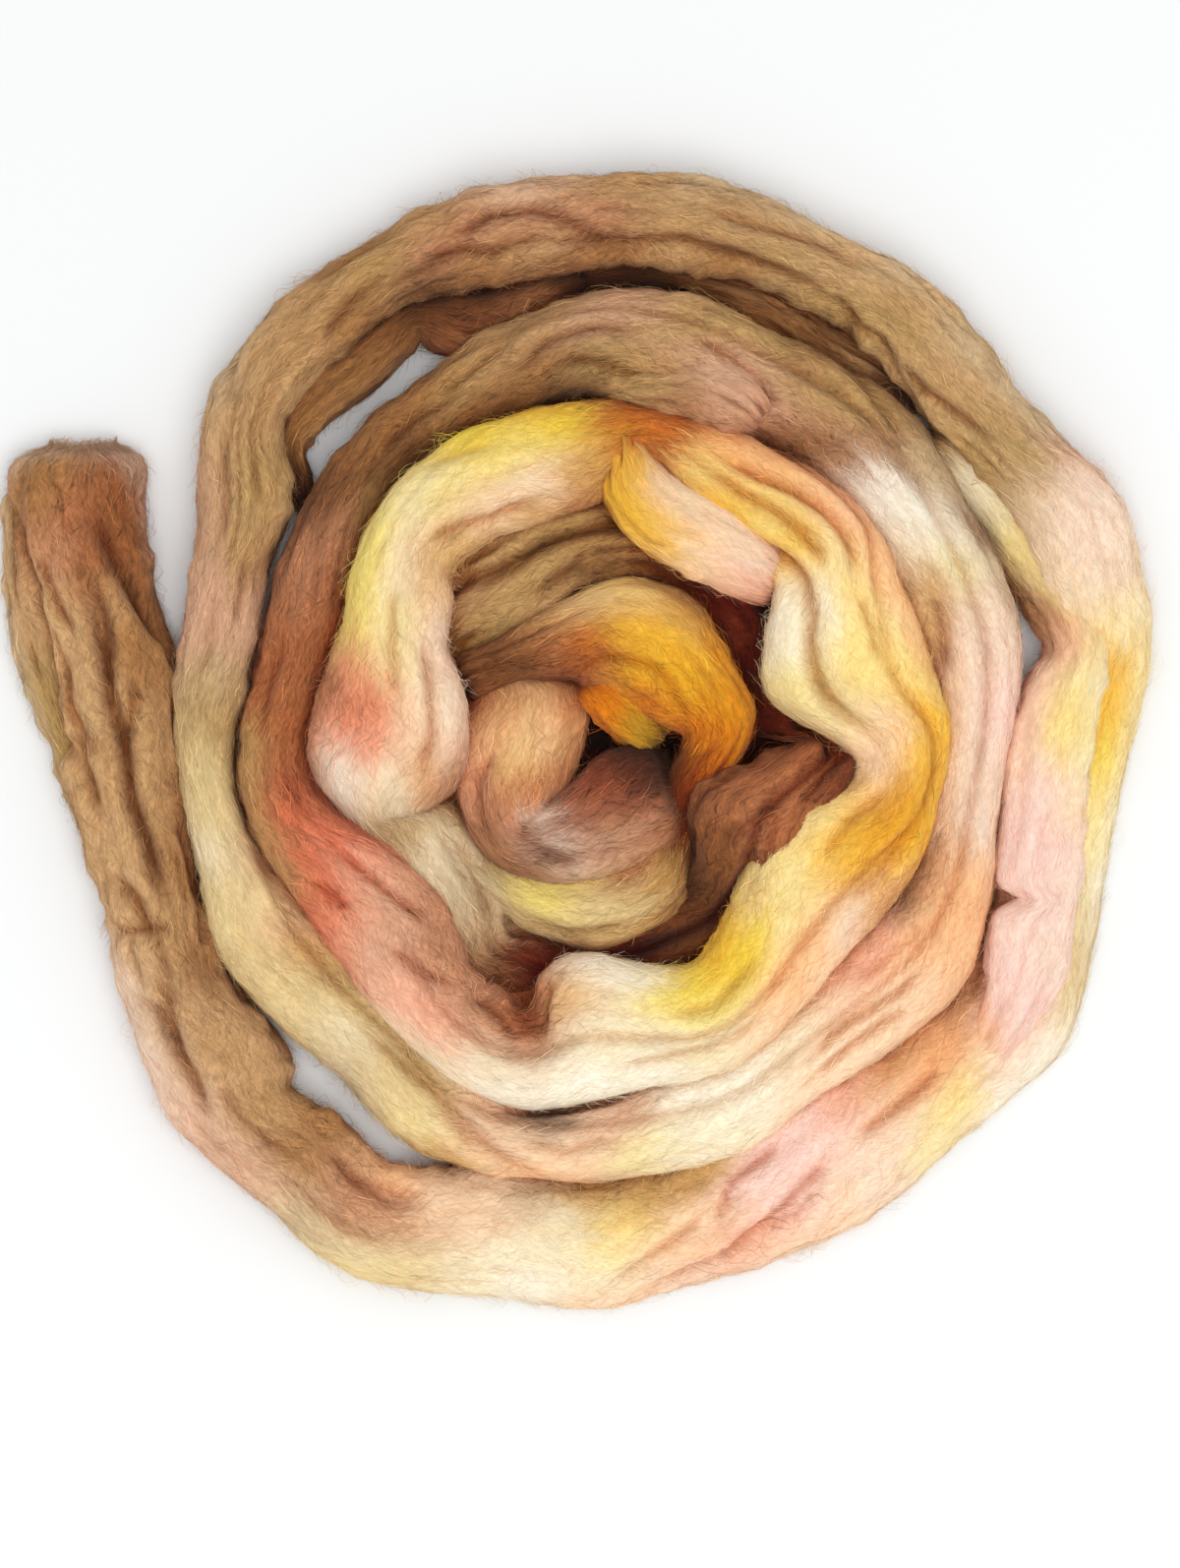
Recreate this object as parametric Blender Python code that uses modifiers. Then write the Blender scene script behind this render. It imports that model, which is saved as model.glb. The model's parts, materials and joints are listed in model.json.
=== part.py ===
"""A four metre length of hand-dyed combed wool roving, laid in a loose inward spiral.

Metres, +Z up. The roving lies on its flat underside at z = 0, with the origin at the middle of
its box. +Y is the far side of the coil and +X its right side.

The roving is one soft strand. It is lofted through the sections in the tables below, each a cut
straight across the strand from its outer edge to its inner edge. The lengthwise folds of the
strand that stand up as ridges or lie out as ledges are short strands of their own, and all of
them are felted into one solid.
"""

from typing import NamedTuple

import bmesh
import bpy
import numpy as np

MM = 0.001

# How a strand is rounded, in millimetres and steps.
RIM_STEPS = 28  # points round a section
STEPS_A_ROW = 5  # sections lofted between two rows of a table
SHOULDER = 0.78  # 1 is a plain oval section, less is fuller at the shoulders
END_ROUNDING = 9.0  # the length over which a blunt end closes
SINK = 3.0  # how far the underside is sunk, before the floor plane cuts it flat

# Where the outer edge is drawn out thin: the rows of the outer turn from the bottom to the right.
THIN_STRETCH = "outer_turn"
THIN_ROWS = 12
THIN_FADE = 2.0  # rows over which it starts and ends
THIN_FROM = 0.3  # from this far across, where 1 is the edge
THIN_SHARE = 0.62  # how much of the thickness goes

# How fine the felted solid is.
FELT_VOXEL = 2.8
FELT_SHARE = 0.075  # share of the felted faces that is kept
FLOOR_BLOCK = (600.0, 600.0, 40.0)  # length, width and height of the block under the floor

WOOL_COLOUR = (0.72, 0.42, 0.22, 1.0)
WOOL_ROUGHNESS = 0.95


class Section(NamedTuple):
    """A cut across the roving, in millimetres: its two edges in plan, its thickness and its lift."""

    outer_x: float
    outer_y: float
    inner_x: float
    inner_y: float
    thick: float
    lift: float = 0.0


class Ridge(NamedTuple):
    """A square cut across a lengthwise fold, in millimetres: its middle in plan and its size."""

    x: float
    y: float
    wide: float
    thick: float
    lift: float = 0.0


class Crease(NamedTuple):
    """A soft trough pressed into the top of one stretch, from one place in plan to another."""

    stretch: str
    from_x: float
    from_y: float
    to_x: float
    to_y: float
    deep: float
    wide: float


# The loose end, from its blunt tip on the left down to the bottom of the coil.
LOOSE_END = (
    Section(-218, 121, -189, 122, 13),
    Section(-231, 111, -178, 114, 20),
    Section(-232, 94, -175, 96, 25),
    Section(-228, 66, -172, 70, 26),
    Section(-219, 34, -164, 38, 26),
    Section(-212, 0, -163, 4, 26),
    Section(-206, -38, -158, -32, 26),
    Section(-192, -70, -153, -66, 27),
    Section(-188, -98, -144, -92, 28),
    Section(-176, -134, -119, -125, 28),
    Section(-160, -161, -117, -142, 28),
    Section(-129, -187, -94, -154, 28),
    Section(-105, -210, -82, -169, 27),
)

# The outer turn, from the bottom round the right and over the top to the left.
OUTER_TURN = (
    Section(-76, -222, -70, -174, 28),
    Section(-34, -227, -34, -172, 29),
    Section(6, -232, 4, -174, 29),
    Section(46, -222, 42, -168, 28),
    Section(82, -211, 70, -158, 28),
    Section(118, -196, 98, -140, 28),
    Section(148, -170, 126, -125, 26),
    Section(174, -148, 152, -110, 24),
    Section(200, -123, 164, -87, 20),
    Section(212, -78, 169, -64, 18),
    Section(218, -38, 176, -34, 18),
    Section(226, 2, 181, 2, 19),
    Section(233, 38, 190, 28, 21),
    Section(229, 68, 190, 52, 26),
    Section(220, 99, 174, 92, 30),
    Section(198, 128, 150, 122, 32),
    Section(172, 157, 127, 148, 32),
    Section(144, 186, 104, 170, 33),
    Section(108, 207, 76, 184, 33),
    Section(68, 226, 47, 192, 33),
    Section(24, 231, 16, 195, 33),
    Section(-18, 228, -18, 188, 33),
    Section(-54, 220, -46, 184, 32),
    Section(-86, 206, -70, 177, 32),
    Section(-118, 183, -92, 160, 32),
    Section(-142, 156, -113, 142, 32),
    Section(-152, 126, -122, 124, 32),
    Section(-154, 94, -118, 96, 33),
    Section(-159, 64, -128, 66, 32),
    Section(-163, 38, -132, 36, 31),
)

# The second turn, inside the first.
SECOND_TURN = (
    Section(-166, 10, -140, 6, 30),
    Section(-162, -22, -139, -22, 30),
    Section(-155, -54, -124, -50, 31),
    Section(-148, -84, -106, -72, 32),
    Section(-126, -112, -88, -92, 31),
    Section(-98, -137, -64, -116, 31),
    Section(-73, -162, -46, -132, 31),
    Section(-42, -175, -22, -142, 32),
    Section(-6, -180, 2, -142, 33),
    Section(30, -177, 32, -134, 33),
    Section(66, -169, 56, -124, 33),
    Section(93, -148, 77, -109, 33),
    Section(122, -129, 102, -84, 33),
    Section(155, -101, 120, -62, 33),
    Section(167, -66, 134, -38, 33),
    Section(170, -30, 141, -12, 33),
    Section(176, 6, 142, 14, 33),
    Section(180, 38, 136, 38, 33),
    Section(174, 66, 124, 62, 34),
    Section(160, 94, 112, 84, 34),
    Section(140, 128, 92, 106, 35),
    Section(112, 150, 76, 118, 36, 1),
    Section(82, 165, 52, 127, 36, 3),
    Section(50, 179, 24, 136, 36, 5),
    Section(18, 183, 0, 139, 36, 5),
    Section(-11, 177, -14, 134, 35, 3),
    Section(-38, 166, -36, 124, 33),
    Section(-62, 150, -58, 112, 32),
    Section(-87, 130, -73, 100, 31),
    Section(-109, 102, -84, 78, 31),
    Section(-125, 66, -90, 54, 31),
)

# The third turn, which rides up on the second and ends in the cream bend on the left.
THIRD_TURN = (
    Section(-130, 34, -98, 26, 31),
    Section(-139, -2, -105, -6, 31),
    Section(-136, -30, -96, -28, 32),
    Section(-122, -56, -74, -44, 34, 1),
    Section(-102, -85, -54, -64, 36, 3),
    Section(-78, -114, -42, -92, 37, 5),
    Section(-50, -138, -33, -101, 35, 7),
    Section(-22, -149, -18, -100, 32, 9),
    Section(6, -145, -1, -86, 37, 10),
    Section(30, -139, 25, -85, 37, 12),
    Section(57, -133, 46, -91, 36, 14),
    Section(82, -116, 56, -77, 36, 14),
    Section(106, -88, 68, -55, 36, 14),
    Section(128, -64, 88, -31, 36, 14),
    Section(143, -34, 113, -18, 34, 14),
    Section(149, 2, 110, -2, 34, 14),
    Section(143, 30, 81, 18, 36, 14),
    Section(130, 62, 75, 42, 38, 14),
    Section(116, 90, 80, 62, 38, 14),
    Section(90, 113, 60, 78, 34, 12),
    Section(60, 126, 36, 98, 31, 11),
    Section(34, 134, 18, 114, 28, 10),
    Section(10, 137, 10, 98, 31, 12),
    Section(-16, 133, -4, 91, 34, 14),
    Section(-46, 123, -30, 84, 36, 16),
    Section(-74, 102, -50, 68, 38, 17),
    Section(-90, 72, -51, 54, 38, 18),
    Section(-96, 42, -53, 36, 38, 18),
    Section(-104, 14, -43, 12, 39, 17),
    Section(-106, -12, -46, -14, 37, 14),
    Section(-95, -31, -60, -29, 26, 8),
)

# The fourth turn, low under the third, with the brown tongue on the right.
FOURTH_TURN = (
    Section(-86, -46, -50, -24, 26),
    Section(-66, -78, -30, -58, 28),
    Section(-52, -102, -28, -73, 25),
    Section(-32, -118, -18, -75, 19),
    Section(-8, -124, -6, -80, 20),
    Section(30, -110, 22, -70, 24),
    Section(74, -88, 40, -60, 28),
    Section(94, -62, 44, -46, 35, 6),
    Section(104, -40, 46, -24, 38, 9),
    Section(112, -21, 70, -9, 34, 9),
    Section(117, -8, 86, 0, 26, 5),
    Section(122, 8, 60, 4, 20),
    Section(118, 38, 58, 14, 22),
    Section(86, 78, 50, 42, 22),
    Section(46, 98, 30, 62, 26, 2),
    Section(6, 100, 4, 60, 28, 4),
    Section(-34, 86, -22, 44, 30, 4),
    Section(-66, 62, -50, 30, 24, 2),
    Section(-86, 22, -58, 16, 18),
    Section(-82, -18, -58, -10, 18),
)

# The heart: the yellow loop, the golden arc over it and the brown inner end.
HEART = (
    Section(-58, -50, -38, -30, 20),
    Section(-26, -74, -22, -46, 30, 2),
    Section(6, -84, 10, -46, 34, 2),
    Section(38, -72, 28, -38, 34, 2),
    Section(51, -46, 30, -30, 23, 0),
    Section(57, -22, 34, -14, 28, 1),
    Section(71, 6, 42, 2, 38, 6),
    Section(61, 34, 30, 7, 40, 6),
    Section(44, 56, 18, 14, 40, 6),
    Section(18, 63, 4, 22, 38, 6),
    Section(-10, 56, -4, 24, 34, 6),
    Section(-34, 42, -26, 22, 30, 6),
    Section(-52, 34, -42, 14, 24, 4),
    Section(-43, 21, -5, 26, 26, 3),
    Section(-50, 4, 4, 10, 33, 4),
    Section(-49, -22, -4, -16, 36, 7),
    Section(-36, -48, -9, -22, 36, 8),
    Section(-4, -59, 2, -12, 36, 8),
    Section(24, -53, 14, -2, 32, 7),
    Section(44, -38, 32, 0, 26, 5),
)

# Lengthwise folds that stand up on the strand or lie out from under it.
FOLDS = {
    "loose_end_strip": (
        Ridge(-228, 104, 12, 12),
        Ridge(-228, 88, 16, 14),
        Ridge(-226, 62, 20, 15),
        Ridge(-221, 34, 22, 15),
        Ridge(-214, 12, 22, 14),
        Ridge(-209, -4, 18, 13),
        Ridge(-204, -22, 13, 12),
        Ridge(-200, -38, 8, 10),
    ),
    "right_ridge": (
        Ridge(142, 118, 12, 12),
        Ridge(161, 101, 14, 14),
        Ridge(182, 76, 24, 19),
        Ridge(202, 42, 26, 26),
        Ridge(196, 17, 35, 30),
        Ridge(190, -10, 36, 31),
        Ridge(187, -42, 34, 31),
        Ridge(191, -66, 26, 30),
        Ridge(182, -88, 35, 30),
        Ridge(173, -112, 26, 28),
        Ridge(162, -134, 22, 20),
    ),
    "top_left_ledge": (
        Ridge(6, 188, 12, 15),
        Ridge(-10, 185, 22, 16),
        Ridge(-28, 177, 34, 16),
        Ridge(-42, 172, 36, 15),
        Ridge(-56, 173, 26, 16),
        Ridge(-68, 173, 16, 17),
        Ridge(-78, 164, 20, 17),
        Ridge(-91, 151, 21, 17),
        Ridge(-104, 141, 19, 17),
        Ridge(-115, 129, 16, 16),
        Ridge(-119, 117, 9, 12),
    ),
    "top_under_band": (
        Ridge(-2, 190, 16, 17),
        Ridge(40, 187, 15, 17),
        Ridge(72, 178, 17, 17),
        Ridge(98, 162, 20, 17),
        Ridge(121, 146, 24, 16),
        Ridge(136, 132, 18, 16),
    ),
    "second_turn_lobe": (
        Ridge(6, 144, 12, 16, 14),
        Ridge(26, 144, 22, 22, 16),
        Ridge(46, 143, 26, 27, 16),
        Ridge(64, 136, 28, 29, 16),
        Ridge(75, 127, 20, 24, 14),
    ),
    "third_turn_flap": (
        Ridge(17, 131, 12, 18, 15),
        Ridge(19, 120, 15, 21, 19),
        Ridge(25, 104, 25, 23, 23),
        Ridge(36, 88, 32, 24, 26),
        Ridge(53, 75, 35, 25, 27),
        Ridge(69, 67, 30, 25, 26),
        Ridge(82, 62, 20, 20, 18),
    ),
    "heart_lobe": (
        Ridge(2, 27, 20, 20, 12),
        Ridge(14, 20, 28, 25, 13),
        Ridge(26, 10, 26, 24, 12),
        Ridge(36, 3, 18, 18, 9),
    ),
    "heart_floor": (
        Ridge(-46, 24, 24, 14),
        Ridge(-8, 10, 50, 16),
        Ridge(38, -4, 52, 15),
        Ridge(70, 2, 40, 14),
        Ridge(96, 6, 24, 13),
    ),
}

# The creases that show from a step away.
CREASES = (
    Crease("loose_end", -192, 50, -165, -66, 9, 5),
    Crease("loose_end", -214, 58, -190, -30, 5, 5),
    Crease("loose_end", -180, 59, -163, 34, 5, 4),
    Crease("loose_end", -172, -96, -154, -140, 3, 5),
    Crease("outer_turn", 30, -214, 96, -184, 6, 5),
    Crease("outer_turn", 96, -184, 140, -138, 6, 5),
    Crease("outer_turn", -52, 202, 14, 212, 5, 5),
    Crease("outer_turn", 14, 212, 80, 200, 4, 5),
    Crease("third_turn", -24, -98, -21, -120, 9, 7),
    Crease("third_turn", 86, 84, 102, 50, 7, 5),
    Crease("third_turn", 102, 50, 108, 8, 7, 5),
    Crease("third_turn", 28, 128, 86, 84, 4, 4),
    Crease("second_turn", 60, 160, 78, 124, 5, 4),
    Crease("fourth_turn", -30, -72, -35, -93, 6, 4),
    Crease("heart", -10, 42, 30, 26, 4, 5),
    Crease("heart", -30, -36, 14, -44, 3, 5),
)


def smooth_through(points, steps):
    """A smooth curve through rows of numbers: a Catmull-Rom spline with steps between two rows."""
    points = np.asarray(points, float)
    before = 2 * points[0] - points[1]
    after = 2 * points[-1] - points[-2]
    knots = np.vstack([before, points, after])
    t = np.linspace(0, 1, steps, endpoint=False)[:, None]
    stretches = []
    for a, b, c, d in zip(knots, knots[1:], knots[2:], knots[3:]):
        stretches.append(
            0.5 * (2 * b + (c - a) * t + (2 * a - 5 * b + 4 * c - d) * t**2 + (3 * b - a - 3 * c + d) * t**3)
        )
    return np.vstack([*stretches, points[-1:]])


def sections_of(ridges):
    """The sections of a fold, each cut square to the run of the fold there."""
    table = np.array(ridges, float)
    run = np.gradient(table[:, 0:2], axis=0)
    square = np.stack([-run[:, 1], run[:, 0]], 1) / np.linalg.norm(run, axis=1)[:, None]
    half = square * table[:, 2:3] / 2
    return np.hstack([table[:, 0:2] + half, table[:, 0:2] - half, table[:, 3:5]])


def distance_to_line(xy, crease):
    """How far each place in plan is from a crease's straight run."""
    start = np.array([crease.from_x, crease.from_y])
    run = np.array([crease.to_x, crease.to_y]) - start
    along = np.clip(((xy - start) @ run) / (run @ run), 0, 1)
    return np.linalg.norm(xy - start - along[..., None] * run, axis=-1)


def strand_grid(rows, stretch_of_row):
    """Rings of points round a strand, in millimetres, as an array of section, point and axis."""
    table = smooth_through(rows, STEPS_A_ROW)
    outer, inner = table[:, 0:2], table[:, 2:4]
    thick, lift = table[:, 4], table[:, 5]
    middle = (outer + inner) / 2
    half = (outer - inner) / 2
    along = np.r_[0, np.cumsum(np.linalg.norm(np.diff(middle, axis=0), axis=1))]
    to_end = np.minimum(along, along[-1] - along)
    open_share = 1 - np.clip(to_end / END_ROUNDING, 0, 1)
    closing = np.sqrt(np.clip(1 - open_share**2, 0.02, 1))
    closing_wide = np.clip(1 - open_share**4, 0.13, 1) ** 0.25

    turn = np.linspace(0, 2 * np.pi, RIM_STEPS, endpoint=False)
    across = np.sign(np.cos(turn)) * np.abs(np.cos(turn)) ** SHOULDER
    up = np.sign(np.sin(turn)) * np.abs(np.sin(turn)) ** SHOULDER
    xy = middle[:, None] + half[:, None] * (closing_wide[:, None] * across)[..., None]
    height = thick + SINK
    z = lift[:, None] - SINK + height[:, None] / 2 * (1 + closing[:, None] * up)

    if THIN_STRETCH in stretch_of_row:
        row = np.arange(len(table)) / STEPS_A_ROW - stretch_of_row.index(THIN_STRETCH)
        inside = np.clip(np.minimum(row, THIN_ROWS - 1 - row) / THIN_FADE, 0, 1)
        outward = np.clip((across - THIN_FROM) / (1 - THIN_FROM), 0, 1)
        z *= 1 - THIN_SHARE * inside[:, None] * outward**1.5

    for crease in CREASES:
        pressed = np.array([name == crease.stretch for name in stretch_of_row])
        pressed = np.append(np.repeat(pressed[:-1], STEPS_A_ROW), pressed[-1])
        near = np.exp(-((distance_to_line(xy, crease) / crease.wide) ** 2))
        z -= crease.deep * near * pressed[:, None] * np.clip(up, 0, 1)
    return np.dstack([xy, z])


def add_strand(bm, grid):
    """Adds one closed strand to a mesh: a skin round its rings and a fan at each end."""
    rings = [[bm.verts.new(point * MM) for point in ring] for ring in grid]
    for ring, following in zip(rings, rings[1:]):
        for i in range(RIM_STEPS):
            j = (i + 1) % RIM_STEPS
            bm.faces.new((ring[i], ring[j], following[j], following[i]))
    for ring in (rings[0], rings[-1]):
        tip = bm.verts.new(sum((v.co for v in ring), start=ring[0].co * 0) / RIM_STEPS)
        for i in range(RIM_STEPS):
            bm.faces.new((tip, ring[i], ring[(i + 1) % RIM_STEPS]))


def roving_mesh():
    """The strand and its folds as closed skins that run into each other."""
    stretches = {
        "loose_end": LOOSE_END,
        "outer_turn": OUTER_TURN,
        "second_turn": SECOND_TURN,
        "third_turn": THIRD_TURN,
        "fourth_turn": FOURTH_TURN,
        "heart": HEART,
    }
    rows = [row for table in stretches.values() for row in table]
    names = [name for name, table in stretches.items() for _ in table]
    bm = bmesh.new()
    add_strand(bm, strand_grid(rows, names))
    for name, ridges in FOLDS.items():
        add_strand(bm, strand_grid(sections_of(ridges), [name] * len(ridges)))
    bmesh.ops.recalc_face_normals(bm, faces=bm.faces)
    mesh = bpy.data.meshes.new("roving")
    bm.to_mesh(mesh)
    bm.free()
    return mesh


def wool_material():
    """Dull, undyed-looking wool in the roving's middle colour."""
    material = bpy.data.materials.new("wool")
    material.use_nodes = True
    shader = material.node_tree.nodes["Principled BSDF"]
    shader.inputs["Base Color"].default_value = WOOL_COLOUR
    shader.inputs["Roughness"].default_value = WOOL_ROUGHNESS
    shader.inputs["Metallic"].default_value = 0.0
    material.diffuse_color = WOOL_COLOUR
    return material


def floor_block(collection):
    """The block under z = 0 that cuts the underside flat."""
    length, width, height = (size * MM for size in FLOOR_BLOCK)
    bpy.ops.mesh.primitive_cube_add(size=1, location=(0, 0, -height / 2))
    block = bpy.context.active_object
    block.name = "floor_block"
    block.scale = (length, width, height)
    bpy.ops.object.transform_apply(location=True, rotation=False, scale=True)
    for holder in block.users_collection:
        holder.objects.unlink(block)
    collection.objects.link(block)
    block.hide_render = True
    block.display_type = "WIRE"
    return block


def centre_in_plan(obj):
    """Moves an object so that the middle of its finished box is at x = 0, y = 0."""
    finished = obj.evaluated_get(bpy.context.evaluated_depsgraph_get()).to_mesh()
    places = np.array([vertex.co[:] for vertex in finished.vertices])
    middle = (places.min(axis=0) + places.max(axis=0)) / 2
    obj.location.x -= middle[0]
    obj.location.y -= middle[1]


def build():
    """Makes the roving, cuts its underside flat and centres it."""
    for obj in list(bpy.data.objects):
        bpy.data.objects.remove(obj)
    parts = bpy.data.collections.new("wool_roving")
    cutters = bpy.data.collections.new("cutters")
    bpy.context.scene.collection.children.link(parts)
    bpy.context.scene.collection.children.link(cutters)

    mesh = roving_mesh()
    mesh.materials.append(wool_material())
    roving = bpy.data.objects.new("roving", mesh)
    parts.objects.link(roving)

    felt = roving.modifiers.new("felt together", "REMESH")
    felt.mode = "VOXEL"
    felt.voxel_size = FELT_VOXEL * MM
    felt.use_smooth_shade = True

    thin = roving.modifiers.new("thin out", "DECIMATE")
    thin.ratio = FELT_SHARE
    thin.use_collapse_triangulate = True

    flat = roving.modifiers.new("flat underside", "BOOLEAN")
    flat.operation = "DIFFERENCE"
    flat.object = floor_block(cutters)
    centre_in_plan(roving)


build()
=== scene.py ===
"""The looks of a four metre length of hand-dyed combed wool roving, laid in a loose spiral.

The roving is a skin lofted through the cuts of the solid that it stands for, some of them moved
by a few millimetres, with the lengthwise folds, creases and dyes of the real strand, and tens of
thousands of loose fibres combed along it. Shade in the creases and between the turns, and the
floor's light through thin outer edges, are painted into the dyes. Lengths in the tables are
millimetres, in plan.
"""

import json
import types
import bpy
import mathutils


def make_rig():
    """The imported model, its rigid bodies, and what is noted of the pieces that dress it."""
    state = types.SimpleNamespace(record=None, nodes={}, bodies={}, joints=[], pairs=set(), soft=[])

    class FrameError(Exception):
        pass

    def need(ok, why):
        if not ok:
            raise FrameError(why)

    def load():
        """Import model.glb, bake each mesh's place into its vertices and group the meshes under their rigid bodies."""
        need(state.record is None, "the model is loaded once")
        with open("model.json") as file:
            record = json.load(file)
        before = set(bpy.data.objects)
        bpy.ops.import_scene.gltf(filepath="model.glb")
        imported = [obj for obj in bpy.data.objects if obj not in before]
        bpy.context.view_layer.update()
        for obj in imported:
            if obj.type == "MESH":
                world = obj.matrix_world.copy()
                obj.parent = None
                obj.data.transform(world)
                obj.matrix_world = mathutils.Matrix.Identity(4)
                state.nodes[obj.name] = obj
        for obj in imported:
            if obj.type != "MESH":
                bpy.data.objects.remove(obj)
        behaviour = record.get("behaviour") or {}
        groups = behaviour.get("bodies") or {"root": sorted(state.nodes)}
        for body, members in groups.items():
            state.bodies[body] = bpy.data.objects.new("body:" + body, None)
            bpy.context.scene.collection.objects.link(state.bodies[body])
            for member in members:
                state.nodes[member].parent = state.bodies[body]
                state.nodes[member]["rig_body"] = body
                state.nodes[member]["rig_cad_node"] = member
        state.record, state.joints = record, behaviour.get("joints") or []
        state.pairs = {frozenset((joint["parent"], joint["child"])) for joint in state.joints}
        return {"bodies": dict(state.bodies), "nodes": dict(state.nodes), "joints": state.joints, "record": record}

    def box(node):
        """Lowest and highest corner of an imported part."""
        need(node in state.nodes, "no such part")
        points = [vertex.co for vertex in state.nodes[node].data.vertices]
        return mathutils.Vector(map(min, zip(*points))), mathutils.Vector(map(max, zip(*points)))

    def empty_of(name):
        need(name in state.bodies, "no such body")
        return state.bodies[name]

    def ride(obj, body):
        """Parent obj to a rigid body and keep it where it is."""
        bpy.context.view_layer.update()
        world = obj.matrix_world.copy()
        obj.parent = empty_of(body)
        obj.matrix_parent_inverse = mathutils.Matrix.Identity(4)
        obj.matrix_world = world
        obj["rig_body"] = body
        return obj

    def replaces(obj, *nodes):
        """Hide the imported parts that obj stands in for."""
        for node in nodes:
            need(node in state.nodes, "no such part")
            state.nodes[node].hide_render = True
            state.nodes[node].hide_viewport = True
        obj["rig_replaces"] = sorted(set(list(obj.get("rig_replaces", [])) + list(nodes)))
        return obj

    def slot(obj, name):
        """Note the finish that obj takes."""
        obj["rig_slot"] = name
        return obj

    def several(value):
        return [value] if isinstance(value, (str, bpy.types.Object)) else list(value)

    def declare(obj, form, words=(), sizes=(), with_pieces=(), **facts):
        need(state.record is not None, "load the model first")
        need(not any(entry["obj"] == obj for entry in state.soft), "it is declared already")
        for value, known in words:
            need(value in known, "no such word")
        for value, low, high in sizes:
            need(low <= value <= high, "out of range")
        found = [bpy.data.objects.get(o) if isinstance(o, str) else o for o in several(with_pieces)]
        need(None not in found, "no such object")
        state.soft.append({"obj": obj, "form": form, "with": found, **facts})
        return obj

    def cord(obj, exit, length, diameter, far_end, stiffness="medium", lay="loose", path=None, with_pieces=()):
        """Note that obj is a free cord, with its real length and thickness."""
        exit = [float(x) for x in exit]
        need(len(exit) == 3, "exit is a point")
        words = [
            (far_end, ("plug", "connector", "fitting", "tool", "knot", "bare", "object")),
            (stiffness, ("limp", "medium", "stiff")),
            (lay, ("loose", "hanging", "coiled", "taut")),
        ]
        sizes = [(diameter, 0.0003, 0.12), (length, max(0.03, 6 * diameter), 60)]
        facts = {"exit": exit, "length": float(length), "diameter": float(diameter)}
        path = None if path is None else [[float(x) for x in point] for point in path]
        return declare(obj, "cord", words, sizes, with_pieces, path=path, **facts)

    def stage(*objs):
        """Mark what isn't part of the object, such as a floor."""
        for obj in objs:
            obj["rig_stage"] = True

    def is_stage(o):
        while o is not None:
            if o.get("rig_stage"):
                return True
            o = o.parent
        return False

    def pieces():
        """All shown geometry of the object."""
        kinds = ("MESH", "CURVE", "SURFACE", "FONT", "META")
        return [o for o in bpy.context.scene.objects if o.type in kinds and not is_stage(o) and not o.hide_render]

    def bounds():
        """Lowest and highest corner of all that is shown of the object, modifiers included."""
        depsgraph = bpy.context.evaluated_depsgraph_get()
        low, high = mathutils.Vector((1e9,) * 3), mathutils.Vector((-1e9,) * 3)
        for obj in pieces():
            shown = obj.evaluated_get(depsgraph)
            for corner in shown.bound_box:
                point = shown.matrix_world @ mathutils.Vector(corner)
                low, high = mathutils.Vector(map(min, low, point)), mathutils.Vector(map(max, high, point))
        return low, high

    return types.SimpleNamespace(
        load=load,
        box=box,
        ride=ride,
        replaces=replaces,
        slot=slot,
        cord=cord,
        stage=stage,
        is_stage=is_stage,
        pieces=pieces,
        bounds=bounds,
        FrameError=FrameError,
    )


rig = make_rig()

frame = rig.load()

import json
import logging
from dataclasses import dataclass, field
from enum import Enum
from typing import Iterable, Iterator, NamedTuple, Sequence, TypeVar

import bpy
import numpy as np
from mathutils import Vector

logging.basicConfig(level=logging.INFO, format="%(message)s")
LOG = logging.getLogger("roving")

Array = np.ndarray
Row = TypeVar("Row")
MM = 0.001
CAD_NODE = "roving"
CAD_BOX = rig.bounds()

SHOULDER = 0.78  # how full a section is at its shoulders: 1 is a plain oval
END_ROUNDING = 9.0  # the length over which a blunt end closes
SINK = 3.0  # how far a section's underside would lie under the floor
FLOOR_CLEARANCE = 0.05  # the flat underside stays this far above the floor
LATTICE_ROWS = 1024  # noise repeats along the strand after this many of its waves
LOFT_STEPS = 30  # places worked out between two cuts
LEAST_RINGS = 12  # that the shortest fold has
END_SQUARENESS = 4  # how squarely an end closes in plan: 2 is round
LEAST_END_HEIGHT = 0.02  # of the square of an end's height, which never closes to a point
LEAST_END_WIDTH = 0.13  # the same of its width
SEARCH_REACH = 60.0  # how far past its stretch a charted place is looked for
EDGE_SLACK = 4.0  # how far beside the strand it may lie
HIGHER_COUNTS = 0.3  # how much the higher of two passes is preferred, for each millimetre
ELSEWHERE = 1e4  # what rules out a place on another stretch
LAST_CELL = 1.001  # how far from a grid's far side a place is kept, in cells
CORD_DIAMETER = 0.050


class Section(NamedTuple):
    """A cut across the roving: its two edges in plan, its thickness and its lift."""

    outer_x: float
    outer_y: float
    inner_x: float
    inner_y: float
    thick: float
    lift: float = 0.0


class Ridge(NamedTuple):
    """A square cut across a lengthwise fold: its middle in plan and its size."""

    x: float
    y: float
    wide: float
    thick: float
    lift: float = 0.0


class Crease(NamedTuple):
    """A soft trough on a stretch of the strand, through a few places in plan."""

    deep: float
    wide: float
    places: tuple[tuple[float, float], ...]


class Waves(NamedTuple):
    """A layer of noise: its waves along and round the strand, its seed and its strength."""

    along: float
    around: float
    seed: int
    strength: float = 1.0


def rows_of(kind: type[Row], *rows: tuple) -> tuple[Row, ...]:
    """A table's rows, each as one of a kind whose columns it fills in order."""
    return tuple(kind(*row) for row in rows)


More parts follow.
